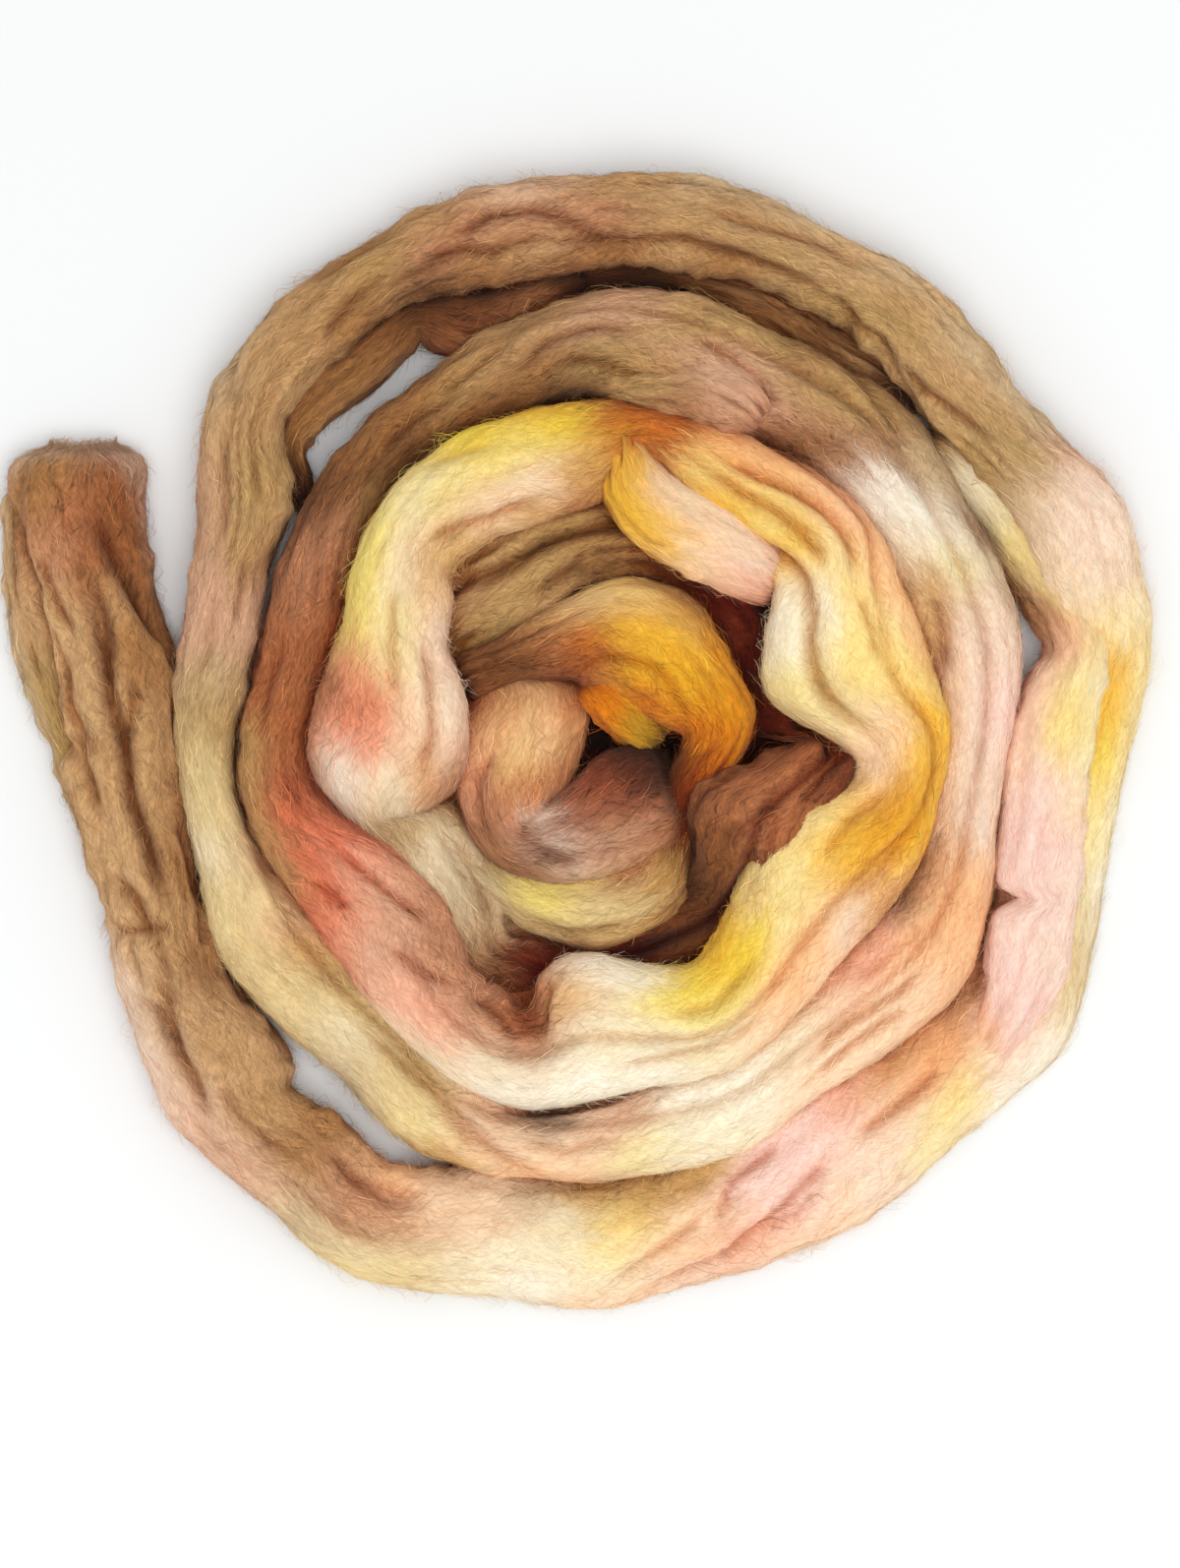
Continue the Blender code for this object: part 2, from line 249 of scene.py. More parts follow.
class Stretch(Enum):
    """The stretches of the strand, from its outer end to its inner end, and its folds."""

    LOOSE_END = "loose_end"
    OUTER_TURN = "outer_turn"
    SECOND_TURN = "second_turn"
    THIRD_TURN = "third_turn"
    FOURTH_TURN = "fourth_turn"
    HEART = "heart"
    LOOSE_END_STRIP = "loose_end_strip"
    RIGHT_RIDGE = "right_ridge"
    TOP_LEFT_LEDGE = "top_left_ledge"
    TOP_UNDER_BAND = "top_under_band"
    SECOND_TURN_LOBE = "second_turn_lobe"
    THIRD_TURN_FLAP = "third_turn_flap"
    HEART_LOBE = "heart_lobe"
    HEART_FLOOR = "heart_floor"


# The cuts of the strand, close to the solid's own.
SECTIONS: dict[Stretch, tuple[Section, ...]] = {
    Stretch.LOOSE_END: rows_of(
        Section,
        (-218, 121, -189, 122, 13), (-231, 111, -178, 114, 20), (-232, 94, -177, 96, 25), (-228, 66, -175, 70, 26),
        (-219, 34, -166, 38, 26), (-210, 0, -163, 4, 26), (-204, -38, -158, -32, 26), (-192, -70, -153, -66, 27),
        (-188, -98, -144, -92, 28), (-176, -134, -119, -125, 28), (-160, -161, -117, -142, 28),
        (-129, -187, -96, -156, 28), (-105, -210, -82, -169, 27),
    ),
    Stretch.OUTER_TURN: rows_of(
        Section,
        (-76, -222, -70, -174, 28), (-34, -227, -34, -172, 29), (6, -232, 4, -174, 29), (46, -222, 42, -168, 28),
        (82, -211, 70, -158, 28), (118, -196, 98, -140, 28), (148, -170, 126, -125, 26), (174, -148, 146, -105, 24),
        (200, -123, 159, -86, 20), (212, -78, 169, -64, 18), (218, -38, 176, -34, 18), (226, 2, 181, 2, 19),
        (233, 38, 190, 28, 21), (229, 68, 190, 52, 26), (220, 99, 174, 92, 30), (193, 126, 150, 122, 32),
        (170, 155, 127, 148, 32), (144, 186, 104, 170, 33), (107, 205, 76, 184, 33), (68, 224, 47, 192, 33),
        (24, 231, 16, 195, 33), (-18, 228, -18, 188, 33), (-54, 220, -46, 184, 32), (-85, 204, -70, 177, 32),
        (-117, 182, -92, 160, 32), (-142, 156, -113, 142, 32), (-152, 126, -122, 124, 32), (-154, 94, -118, 96, 33),
        (-159, 64, -128, 66, 32), (-163, 38, -132, 36, 31),
    ),
    Stretch.SECOND_TURN: rows_of(
        Section,
        (-166, 10, -140, 6, 30), (-162, -22, -139, -22, 30), (-155, -54, -124, -50, 31), (-148, -84, -106, -72, 32),
        (-126, -112, -88, -92, 31), (-98, -137, -64, -116, 31), (-73, -162, -46, -132, 31),
        (-42, -175, -22, -142, 32), (-6, -180, 2, -142, 33), (30, -177, 32, -134, 33), (66, -169, 56, -124, 33),
        (93, -148, 77, -109, 33), (122, -129, 102, -84, 33), (155, -101, 120, -62, 33), (167, -66, 134, -38, 33),
        (170, -30, 141, -12, 33), (176, 6, 142, 14, 33), (180, 38, 136, 38, 33), (174, 66, 124, 62, 34),
        (160, 94, 112, 84, 34), (140, 128, 92, 106, 35), (112, 150, 76, 118, 36, 1), (82, 165, 52, 127, 36, 3),
        (50, 179, 24, 136, 36, 5), (18, 183, 0, 139, 36, 5), (-11, 177, -14, 134, 35, 3), (-38, 166, -36, 124, 33),
        (-62, 150, -58, 112, 32), (-87, 130, -73, 100, 31), (-109, 102, -84, 78, 31), (-125, 66, -90, 54, 31),
    ),
    Stretch.THIRD_TURN: rows_of(
        Section,
        (-130, 34, -98, 26, 31), (-139, -2, -105, -6, 31), (-136, -30, -96, -28, 32), (-122, -56, -74, -44, 34, 1),
        (-102, -85, -54, -64, 36, 3), (-78, -114, -42, -92, 37, 5), (-50, -138, -33, -101, 35, 7),
        (-22, -149, -18, -100, 32, 9), (6, -145, -1, -86, 37, 10), (30, -139, 25, -90, 37, 12),
        (57, -133, 44, -90, 36, 14), (82, -116, 56, -77, 36, 14), (106, -88, 66, -52, 36, 14),
        (127, -64, 83, -26, 36, 14), (142, -34, 109, -16, 34, 14), (149, 2, 107, -2, 34, 14),
        (143, 30, 77, 16, 36, 14), (130, 62, 75, 42, 38, 14), (116, 90, 80, 62, 38, 14), (90, 113, 60, 78, 34, 12),
        (60, 126, 36, 98, 31, 11), (34, 134, 18, 114, 28, 10), (10, 137, 10, 98, 31, 12),
        (-16, 133, -4, 91, 34, 14), (-46, 123, -30, 84, 36, 16), (-74, 102, -50, 68, 38, 17),
        (-90, 72, -51, 54, 38, 18), (-96, 42, -53, 36, 38, 18), (-106, 14, -45, 12, 39, 17),
        (-108, -12, -46, -14, 37, 14), (-95, -31, -60, -29, 26, 8),
    ),
    Stretch.FOURTH_TURN: rows_of(
        Section,
        (-86, -46, -50, -24, 26), (-66, -78, -30, -58, 28), (-52, -102, -28, -73, 25), (-32, -118, -18, -75, 19),
        (-8, -124, -6, -80, 20), (30, -110, 22, -70, 24), (74, -88, 40, -60, 28), (94, -62, 44, -46, 35, 6),
        (104, -40, 46, -24, 38, 9), (112, -21, 70, -9, 34, 9), (117, -8, 86, 0, 26, 5), (122, 8, 60, 4, 20),
        (118, 38, 58, 14, 22), (86, 78, 50, 42, 22), (46, 98, 30, 62, 26, 2), (6, 100, 4, 60, 28, 4),
        (-34, 86, -22, 44, 30, 4), (-66, 62, -50, 30, 24, 2), (-86, 22, -58, 16, 18), (-82, -18, -58, -10, 18),
    ),
    Stretch.HEART: rows_of(
        Section,
        (-58, -50, -38, -30, 20), (-26, -74, -22, -46, 30, 2), (6, -84, 10, -46, 34, 2), (38, -72, 28, -38, 34, 2),
        (51, -46, 30, -30, 23, 0), (57, -22, 34, -14, 28, 1), (71, 6, 42, 2, 38, 6), (61, 34, 30, 7, 40, 6),
        (45, 58, 18, 14, 40, 6), (20, 66, 4, 22, 38, 6), (-10, 56, -4, 24, 34, 6), (-34, 42, -26, 22, 30, 6),
        (-52, 34, -42, 14, 24, 4), (-43, 21, -5, 26, 26, 3), (-50, 4, 4, 10, 33, 4), (-49, -22, -4, -16, 36, 7),
        (-36, -48, -9, -22, 36, 8), (-4, -59, 2, -12, 36, 8), (24, -53, 14, -2, 32, 7), (44, -38, 32, 0, 26, 5),
    ),
}

# The lengthwise folds that stand up on the strand or lie out from under it, close to the solid's.
FOLDS: dict[Stretch, tuple[Ridge, ...]] = {
    Stretch.LOOSE_END_STRIP: rows_of(
        Ridge,
        (-228, 104, 12, 12), (-228, 88, 16, 14), (-226, 62, 20, 15), (-221, 34, 22, 15), (-212, 12, 20, 14),
        (-206, -4, 16, 13), (-204, -22, 13, 12), (-200, -38, 8, 10),
    ),
    Stretch.RIGHT_RIDGE: rows_of(
        Ridge,
        (141, 124, 18, 22), (160, 104, 22, 22), (182, 76, 24, 19), (202, 42, 26, 26), (196, 17, 35, 30),
        (190, -10, 36, 31), (188, -36, 35, 31), (186, -56, 37, 31), (190, -65, 27, 30), (184, -75, 37, 30),
        (181, -92, 35, 30), (173, -112, 26, 28), (162, -134, 22, 20),
    ),
    Stretch.TOP_LEFT_LEDGE: rows_of(
        Ridge,
        (6, 188, 12, 15), (-10, 185, 22, 16), (-28, 177, 34, 16), (-42, 172, 36, 15), (-56, 173, 26, 16),
        (-68, 173, 16, 17), (-78, 164, 20, 17), (-91, 151, 21, 17), (-104, 141, 19, 17), (-115, 129, 16, 16),
        (-119, 117, 13, 14), (-115, 105, 13, 14), (-111, 94, 9, 12),
    ),
    Stretch.TOP_UNDER_BAND: rows_of(
        Ridge,
        (-2, 190, 16, 17), (40, 187, 15, 17), (72, 178, 17, 17), (98, 162, 20, 17), (121, 146, 24, 16),
        (136, 132, 18, 16),
    ),
    Stretch.SECOND_TURN_LOBE: rows_of(
        Ridge,
        (6, 144, 12, 16, 14), (26, 144, 22, 22, 16), (46, 143, 26, 27, 16), (64, 136, 28, 29, 16),
        (75, 127, 20, 24, 14),
    ),
    Stretch.THIRD_TURN_FLAP: rows_of(
        Ridge,
        (17, 131, 12, 18, 15), (19, 120, 15, 21, 19), (23, 102, 30, 23, 23), (36, 89, 32, 24, 26),
        (55, 78, 31, 25, 27), (70, 69, 27, 25, 26), (82, 62, 20, 20, 18),
    ),
    Stretch.HEART_LOBE: rows_of(
        Ridge,
        (2, 27, 20, 20, 12), (14, 20, 28, 25, 13), (26, 10, 26, 24, 12), (36, 3, 18, 18, 9),
    ),
    Stretch.HEART_FLOOR: rows_of(
        Ridge,
        (-46, 24, 24, 14), (-8, 10, 50, 16), (38, -4, 52, 15), (70, 2, 40, 14), (96, 6, 24, 13),
    ),
}


class Dye(Enum):
    """The dyes of the roving, as red, green and blue from 0 to 255."""

    CAMEL = (192, 148, 98)
    CAMEL_LIGHT = (206, 163, 114)
    CAMEL_DARK = (168, 117, 69)
    OLIVE = (186, 148, 92)
    UMBER = (137, 84, 46)
    # A real dark brown dye, also laid as painted shade in gaps, crevices and under folds.
    DARK_UMBER_AND_SHADE = (90, 52, 28)
    # Painted shade only: laid in the deepest gaps and holes between the turns.
    PAINTED_SHADE_BLACK = (50, 32, 22)
    MAHOGANY = (150, 86, 50)
    RUSSET = (150, 72, 44)
    ROSEWOOD = (172, 106, 68)
    ROSE_BROWN = (193, 134, 98)
    RUST_BROWN = (180, 103, 60)
    BRICK = (134, 42, 22)
    # A real dark red dye, also laid as painted shade on the low wool under the heart.
    DARK_BRICK_AND_SHADE = (88, 32, 20)
    TAUPE = (172, 118, 78)
    BISCUIT = (214, 150, 94)
    HONEY = (226, 176, 112)
    PINK_TAUPE = (208, 162, 126)
    DUSTY_PINK = (222, 174, 142)
    BLUSH = (246, 218, 194)
    PINK = (252, 212, 198)
    SALMON = (242, 176, 144)
    CORAL = (216, 108, 76)
    PALE_CORAL = (236, 148, 112)
    PEACH = (252, 216, 178)
    PINK_PEACH = (254, 208, 182)
    APRICOT = (250, 192, 138)
    ORANGE_PEACH = (246, 170, 108)
    RUST_ORANGE = (198, 96, 30)
    ORANGE = (224, 118, 20)
    AMBER = (222, 144, 24)
    GOLD = (238, 180, 40)
    PALE_GOLD = (248, 218, 128)
    LEMON = (242, 212, 50)
    PALE_LEMON = (240, 218, 112)
    OLIVE_GOLD = (186, 146, 42)
    OCHRE = (206, 156, 86)
    STRAW = (229, 203, 146)
    CREAM = (246, 230, 194)
    YELLOW_CREAM = (248, 228, 164)
    IVORY = (252, 242, 220)
    WHITE = (252, 242, 226)
    GREIGE = (208, 183, 144)

    def linear(self) -> Array:
        """The dye's colour as light: each channel c / 255 to the power 2.2."""
        return (np.array(self.value, float) / 255) ** 2.2


# Where each dye lies on each stretch, as charted places in plan.
# Many spots of the darker dyes are painted shade: laid along lower edges, in gaps and crevices, under folds and where
# one turn lies in another's shadow.
DYE_CHART: dict[Stretch, dict[Dye, tuple[tuple[float, float], ...]]] = {
    Stretch.LOOSE_END: {
        Dye.GREIGE: ((-112, -196), (-104, -206)),
        Dye.MAHOGANY: ((-186, 104), (-190, 80), (-198, 66)),
        Dye.CAMEL_DARK: ((-212, 110), (-222, 104), (-180, 34), (-112, -168), (-100, -154), (-162, -52)),
        Dye.ROSEWOOD: ((-204, 92), (-176, 100)),
        Dye.ROSE_BROWN: ((-212, 78), (-96, -194)),
        Dye.CAMEL: (
            (-186, 54), (-184, -4), (-170, -28), (-162, -82), (-170, -102), (-146, -126), (-128, -150), (-172, -70),
            (-160, -130),
        ),
        Dye.CAMEL_LIGHT: (
            (-214, 30), (-206, 10), (-180, -20), (-178, -86), (-211, 58), (-211, 40), (-208, 24), (-196, 14),
            (-186, -46), (-176, -66),
        ),
        Dye.UMBER: ((-178, 62), (-186, 88), (-163, -28), (-157, -84)),
        Dye.BLUSH: ((-184, -98), (-174, -128), (-166, -146)),
        Dye.DUSTY_PINK: ((-156, -158), (-138, -176), (-164, -148)),
        Dye.PALE_GOLD: ((-94, -212),),
    },
    Stretch.OUTER_TURN: {
        Dye.STRAW: ((-72, -218), (202, -92), (206, -66), (200, -108)),
        Dye.APRICOT: ((-74, -178), (24, -228), (46, -208), (136, -138), (142, -122)),
        Dye.PEACH: (
            (134, -149), (-60, -186), (-40, -190), (-36, -178), (4, -230), (46, -196), (80, -206), (112, -196),
            (104, -184),
        ),
        Dye.CREAM: (
            (-48, -220), (-24, -208), (-10, -210), (-6, -194), (224, 44), (222, -26), (14, -222), (-92, -210),
        ),
        Dye.IVORY: ((-22, -220), (192, -130), (176, -144), (212, -60)),
        Dye.PALE_GOLD: ((16, -196), (210, -22), (222, -4), (154, -144)),
        Dye.OCHRE: ((4, -184), (28, -186), (50, -176)),
        Dye.SALMON: ((76, -196), (64, -206), (104, -147)),
        Dye.PINK: ((70, -176), (84, -166), (94, -156), (176, -106), (180, -88), (94, -180), (84, -188)),
        Dye.GOLD: ((217, 18), (216, 6), (218, 30)),
        Dye.LEMON: ((213, -8),),
        Dye.ORANGE_PEACH: ((146, -122), (142, -132)),
        Dye.RUST_BROWN: ((138, -119),),
        Dye.YELLOW_CREAM: (
            (140, -168), (220, 52), (10, -208), (146, -152), (208, -36), (206, -50), (230, 14), (229, 30), (226, 0),
        ),
        Dye.BLUSH: (
            (214, 66), (208, 84), (216, 92), (204, 104), (118, -172), (130, -158), (122, -184), (176, -130),
            (188, -114), (34, -218), (48, -214), (222, 62),
        ),
        Dye.DUSTY_PINK: ((200, 116), (-152, 62), (-148, 54), (-158, 44), (-134, 50), (-22, 226)),
        Dye.CAMEL: (
            (184, 144), (166, 166), (130, 178), (80, 206), (40, 208), (60, 218), (22, 226), (-60, 210), (-104, 178),
            (-124, 154), (-136, 130), (-30, 196), (148, 142),
        ),
        Dye.CAMEL_LIGHT: (
            (158, 174), (116, 196), (100, 210), (-14, 200), (-148, 126), (94, 198), (110, 190), (158, 144),
        ),
        Dye.OLIVE: (
            (182, 116), (168, 130), (128, 170), (86, 196), (-80, 192), (-132, 106), (-138, 78), (108, 172),
            (158, 114),
        ),
        Dye.CAMEL_DARK: ((60, 192), (10, 196), (-40, 188), (-88, 172), (-132, 70)),
        Dye.ROSE_BROWN: ((6, 210), (-22, 206), (-46, 204), (-58, 198), (-76, -190), (-92, -184), (142, -114)),
        Dye.PINK_TAUPE: ((-154, 110), (-156, 84), (-140, 60)),
        Dye.GREIGE: (
            (-150, 24), (62, 224), (94, 209), (126, 192), (156, 166), (-148, 142), (-24, 229), (190, 128),
            (176, 142),
        ),
        Dye.DARK_UMBER_AND_SHADE: ((-60, 182),),
        Dye.UMBER: (
            (-34, 190), (-6, 194), (-52, -170), (-38, -173), (-24, -175), (-8, -177), (8, -177), (26, -176),
        ),
        Dye.BISCUIT: ((126, -128),),
        Dye.TAUPE: ((150, -108), (158, -96)),
        Dye.ROSEWOOD: ((160, -88),),
    },
    Stretch.SECOND_TURN: {
        Dye.OLIVE: (
            (-152, 14), (-150, 24), (-144, 6), (140, 112), (126, 132), (106, 136), (82, 160), (70, 166), (26, 146),
            (6, 152), (114, 144), (46, 168), (110, 142), (-50, 144), (-84, 94), (-98, -98), (-84, -112),
            (-68, -128),
        ),
        Dye.STRAW: (
            (-152, -10), (-152, -28), (-150, -64), (-138, -70), (-118, -112), (-74, -132), (-66, -146), (-138, -82),
            (-116, -98),
        ),
        Dye.CREAM: ((-152, -46), (-92, -118), (46, -158), (62, -154), (82, -130), (60, -164), (164, 74)),
        Dye.IVORY: ((46, -142), (66, -138), (60, -150), (74, -146), (150, 82), (134, 94), (143, 78)),
        Dye.WHITE: ((124, 102), (140, 90)),
        Dye.PALE_LEMON: ((152, 72),),
        Dye.YELLOW_CREAM: ((-126, -70), (-90, -108), (26, -166), (-66, -154)),
        Dye.PEACH: (
            (-42, -154), (-26, -162), (-10, -170), (6, -158), (86, -142), (98, -126), (110, -114), (126, -110),
            (134, -96), (150, -2), (150, 26), (142, -32),
        ),
        Dye.OCHRE: ((-58, -168), (144, 60), (142, 46), (-112, -84)),
        Dye.APRICOT: ((-18, -176), (134, -84), (142, -75), (146, -82), (158, -58), (142, -58), (150, -70)),
        Dye.SALMON: ((122, -80), (116, -90)),
        Dye.BLUSH: ((160, -34), (160, -2), (162, 26), (166, 46), (2, -138), (156, 40), (164, 58)),
        Dye.PINK: ((170, 14),),
        Dye.GREIGE: ((154, 102), (142, 114), (-98, -130)),
        Dye.TAUPE: ((118, 122), (102, 118), (46, 134), (34, 146), (174, 62)),
        Dye.PINK_TAUPE: ((22, 174), (6, 170), (58, 156)),
        Dye.DUSTY_PINK: ((62, 148), (70, 136), (-124, -74), (-36, -152), (8, -154)),
        Dye.ROSE_BROWN: ((72, 128), (-98, 86), (-110, 78), (-106, -76), (-28, -146), (18, -143), (-112, 62)),
        Dye.CAMEL: ((-10, 170), (-34, 154), (-42, 164), (40, 134), (94, 142)),
        Dye.CAMEL_DARK: ((-14, 150), (-62, 142), (-86, 122), (-70, 128)),
        Dye.UMBER: (
            (136, -49), (164, 85), (160, 88), (86, 120), (134, 127), (-128, 74), (-74, 124), (-96, 102), (-24, 132),
            (-46, 128), (96, 158), (112, 154), (124, 146), (78, 124),
        ),
        Dye.DARK_UMBER_AND_SHADE: (
            (-66, 118), (-50, 118), (-30, 124), (-2, 141), (-14, 140), (-8, -148), (-84, 106), (-104, 96),
            (134, -54), (129, -62), (-125, 79),
        ),
        Dye.PAINTED_SHADE_BLACK: ((-15, -150),),
        Dye.ROSEWOOD: ((-102, 62), (-118, 54), (-114, -64), (-122, -50)),
        Dye.RUST_BROWN: ((-100, 42), (140, -50), (142, 34)),
    },
    Stretch.THIRD_TURN: {
        Dye.OCHRE: (
            (70, -60), (-60, 64), (-59, 71), (0, 112), (4, 104), (-18, 92), (-44, 80), (-50, 72), (132, -72),
            (14, 95),
        ),
        Dye.RUST_BROWN: (
            (-118, 34), (-118, 6), (-112, -8), (-24, -118), (0, 94), (-128, 14), (-24, -102), (-18, -106),
        ),
        Dye.ROSEWOOD: (
            (-104, -18), (-26, -112), (-106, 22), (-114, 20), (-120, 24), (-50, -19), (84, 118), (77, 121),
        ),
        Dye.MAHOGANY: ((-98, 20),),
        Dye.CORAL: ((-98, -40), (-102, -58), (-110, -66), (-82, 16), (-90, 10), (-121, -26), (-112, -46)),
        Dye.PALE_CORAL: ((-90, 28), (-98, 4), (-82, 0), (-98, -80)),
        Dye.SALMON: ((-90, -50), (-74, -102), (-66, -106), (-58, -114), (106, 94)),
        Dye.DUSTY_PINK: ((-82, -62), (-74, -78), (-86, -84), (-48, -2), (-52, 28)),
        Dye.ROSE_BROWN: ((-58, -68), (-50, -92), (-42, -108), (-62, -84)),
        Dye.CREAM: (
            (-74, -118), (-58, -130), (-34, -130), (6, -118), (30, -122), (54, -122), (-66, 92), (-82, -18),
            (-74, -26), (-58, 106), (-54, 20), (84, 44), (-72, 66),
        ),
        Dye.IVORY: (
            (-34, -142), (2, -138), (26, -134), (6, -90), (22, -94), (98, 54), (84, 34), (-98, -10), (-94, -22),
            (80, 46),
        ),
        Dye.LEMON: ((46, -98), (62, -90), (70, -82), (-42, 122), (-54, 114), (-6, 125)),
        Dye.PALE_LEMON: (
            (38, -102), (54, -106), (86, 26), (-34, 110), (-86, 66), (-88, 50), (-62, 96), (-20, 118), (-84, 78),
        ),
        Dye.GOLD: (
            (58, -82), (54, -92), (94, -43), (114, -46), (106, -38), (138, -6), (144, 10), (132, -34), (62, 90),
            (86, 82), (-14, 134),
        ),
        Dye.AMBER: ((126, -30), (118, -40), (14, 122)),
        Dye.PEACH: (
            (74, -114), (100, -92), (118, -10), (126, 6), (-38, 92), (-62, 10), (-20, 108), (-58, 62), (-66, 72),
            (-34, 93),
        ),
        Dye.APRICOT: (
            (86, -90), (94, -82), (82, -98), (70, 114), (134, 46), (126, 62), (118, 78), (110, 86), (102, 98),
            (94, 106),
        ),
        Dye.ORANGE_PEACH: ((78, 114), (62, 118)),
        Dye.YELLOW_CREAM: (
            (74, -58), (82, -74), (86, -54), (122, 46), (-74, 46), (-74, 30), (102, 78), (94, -34), (78, -50),
        ),
        Dye.PALE_GOLD: (
            (82, -50), (114, 46), (110, 30), (126, 30), (78, 98), (54, 110), (106, 62), (138, 26), (78, 86),
        ),
        Dye.BLUSH: ((106, -74), (-54, 42), (-54, 26), (-50, 12), (-18, 102)),
        Dye.RUST_ORANGE: ((38, 130), (26, 132), (30, 124)),
        Dye.STRAW: ((102, 14), (94, 22)),
        Dye.OLIVE: ((-134, -2), (-133, -18), (-128, -36), (-120, -52)),
        Dye.UMBER: ((-111, -16),),
        Dye.RUSSET: ((-118, -18), (21, 136)),
        Dye.BISCUIT: ((142, 30), (124, -64), (-62, -16)),
        Dye.HONEY: ((-3, -101),),
    },
    Stretch.FOURTH_TURN: {
        Dye.MAHOGANY: ((66, -64),),
        Dye.CAMEL_LIGHT: ((-36, -78), (-44, 62)),
        Dye.CREAM: ((-50, -40), (-58, -52)),
        Dye.GREIGE: ((-42, -58), (-50, -62), (-36, -74)),
        Dye.BRICK: ((-24, -88), (-16, -98), (0, -100), (-18, -84), (-4, -88), (14, -92)),
        Dye.DARK_UMBER_AND_SHADE: ((38, -84), (112, 2), (6, 69), (53, -52), (46, -61), (55, -60)),
        Dye.RUST_BROWN: ((78, -30), (98, -10), (98, 4), (82, -36)),
        Dye.ROSEWOOD: ((66, -30), (84, -20), (70, -22)),
        Dye.ROSE_BROWN: ((74, -34),),
        Dye.UMBER: ((-36, -85), (86, -42), (-38, -94), (46, -80), (61, -52), (54, -43), (61, -44)),
        Dye.DARK_BRICK_AND_SHADE: ((106, -14), (-29, -92), (70, 42), (92, 40), (66, 4), (30, -84)),
        Dye.CAMEL_DARK: ((22, 78), (22, 90), (2, 76)),
        Dye.OLIVE: ((6, 86), (-10, 74), (-26, 66), (-34, 46), (-80, -36), (-68, -34), (-50, -34)),
        Dye.CAMEL: ((-8, 60), (-40, 58)),
        Dye.RUSSET: ((82, 22), (74, 34), (62, 54), (66, 40)),
    },
    Stretch.HEART: {
        Dye.OLIVE_GOLD: ((-26, -58),),
        Dye.PALE_LEMON: ((-10, -66), (4, -60)),
        Dye.STRAW: ((6, -70), (22, -70), (-11, -76)),
        Dye.OCHRE: ((38, -54), (26, -78), (-4, 54), (45, 46)),
        Dye.CAMEL_DARK: ((43, -42), (-11, 55)),
        Dye.RUST_ORANGE: ((46, -38), (50, -26), (54, -12), (2, 38), (-18, -17), (-27, -23), (-3, 13), (29, 17)),
        Dye.ORANGE: ((56, -2), (46, 4), (3, 38)),
        Dye.AMBER: ((62, 8), (58, 20), (60, 34)),
        Dye.GOLD: ((34, 42), (22, 44), (42, 22), (46, 32), (26, 28)),
        Dye.PALE_GOLD: ((10, 62), (22, 60), (-20, 0), (-25, -8)),
        Dye.PEACH: ((4, 58), (-22, -3), (-14, 1)),
        Dye.RUST_BROWN: (
            (4, 33), (2, -2), (-6, 16), (-28, 18), (-16, 18), (-22, -19), (-30, -26), (-34, -36), (-10, -13),
            (-16, -15), (-38, 15),
        ),
        Dye.TAUPE: ((-46, 26), (-14, 30), (14, -36)),
        Dye.APRICOT: ((-40, -4), (-26, 6), (-12, 8)),
        Dye.PALE_CORAL: ((-44, -16),),
        Dye.ROSEWOOD: (
            (-38, -36), (-24, -40), (4, -34), (-14, 32), (-6, 42), (-48, -18), (-10, -56), (14, -52), (5, -57),
            (22, -50),
        ),
        Dye.UMBER: (
            (-30, -46), (-20, -50), (-36, 32), (-16, -50), (-28, 26), (-40, 26), (-44, 21), (36, -70), (-27, -51),
            (-28, -43), (-22, -51), (-3, -28), (37, -92),
        ),
        Dye.MAHOGANY: ((-40, 17), (-6, 24), (50, 62), (46, 60), (-14, -53)),
        Dye.DARK_UMBER_AND_SHADE: ((-36, 29), (-27, 29), (-17, 28), (-12, 25), (-20, 25), (-11, 21), (-19, 21)),
        Dye.WHITE: ((-20, -31), (-11, -43), (-2, -52)),
        Dye.ROSE_BROWN: ((12, -44), (30, -42)),
        Dye.DUSTY_PINK: ((-42, -24), (20, -41)),
        Dye.RUSSET: ((2, -26), (14, -24), (-4, -24), (24, -28), (-3, 30), (6, -14), (10, -18), (-11, 22), (-3, 21)),
        Dye.DARK_BRICK_AND_SHADE: ((14, -8), (24, -16)),
        Dye.PAINTED_SHADE_BLACK: ((32, -10), (28, -2), (38, -6), (26, -8), (34, -14), (40, -12), (22, -3)),
        Dye.HONEY: ((-20, -4), (-30, -4), (24, 60), (-12, 4), (0, 5)),
        Dye.BISCUIT: ((-16, 8), (-26, 12)),
        Dye.BRICK: ((44, -18), (46, -26)),
    },
    Stretch.LOOSE_END_STRIP: {
        Dye.CAMEL_LIGHT: ((-227, 80), (-222, 50)),
        Dye.OLIVE: ((-219, 20), (-212, 4)),
        Dye.CAMEL: ((-230, 100),),
    },
    Stretch.RIGHT_RIDGE: {
        Dye.OLIVE: ((146, 120),),
        Dye.UMBER: ((136, 127),),
        Dye.CREAM: ((158, 106), (170, 94), (206, -8), (212, 28)),
        Dye.DARK_UMBER_AND_SHADE: ((162, 85),),
        Dye.TAUPE: ((182, 56), (188, 47)),
        Dye.ROSEWOOD: ((186, 50),),
        Dye.PALE_GOLD: ((180, 80), (198, 58), (198, 14), (202, 2), (196, 6), (210, 40)),
        Dye.SALMON: ((196, 42), (200, 46)),
        Dye.YELLOW_CREAM: ((174, 90), (190, 68), (210, 8), (202, 24)),
        Dye.PEACH: ((206, 52), (200, -30), (158, -130)),
        Dye.PINK_PEACH: ((182, 20), (178, 4), (184, 30)),
        Dye.BLUSH: ((196, -60), (188, -82)),
        Dye.PINK: ((188, -18), (186, -50), (190, -70), (182, -36), (174, -94), (176, -112), (192, -44)),
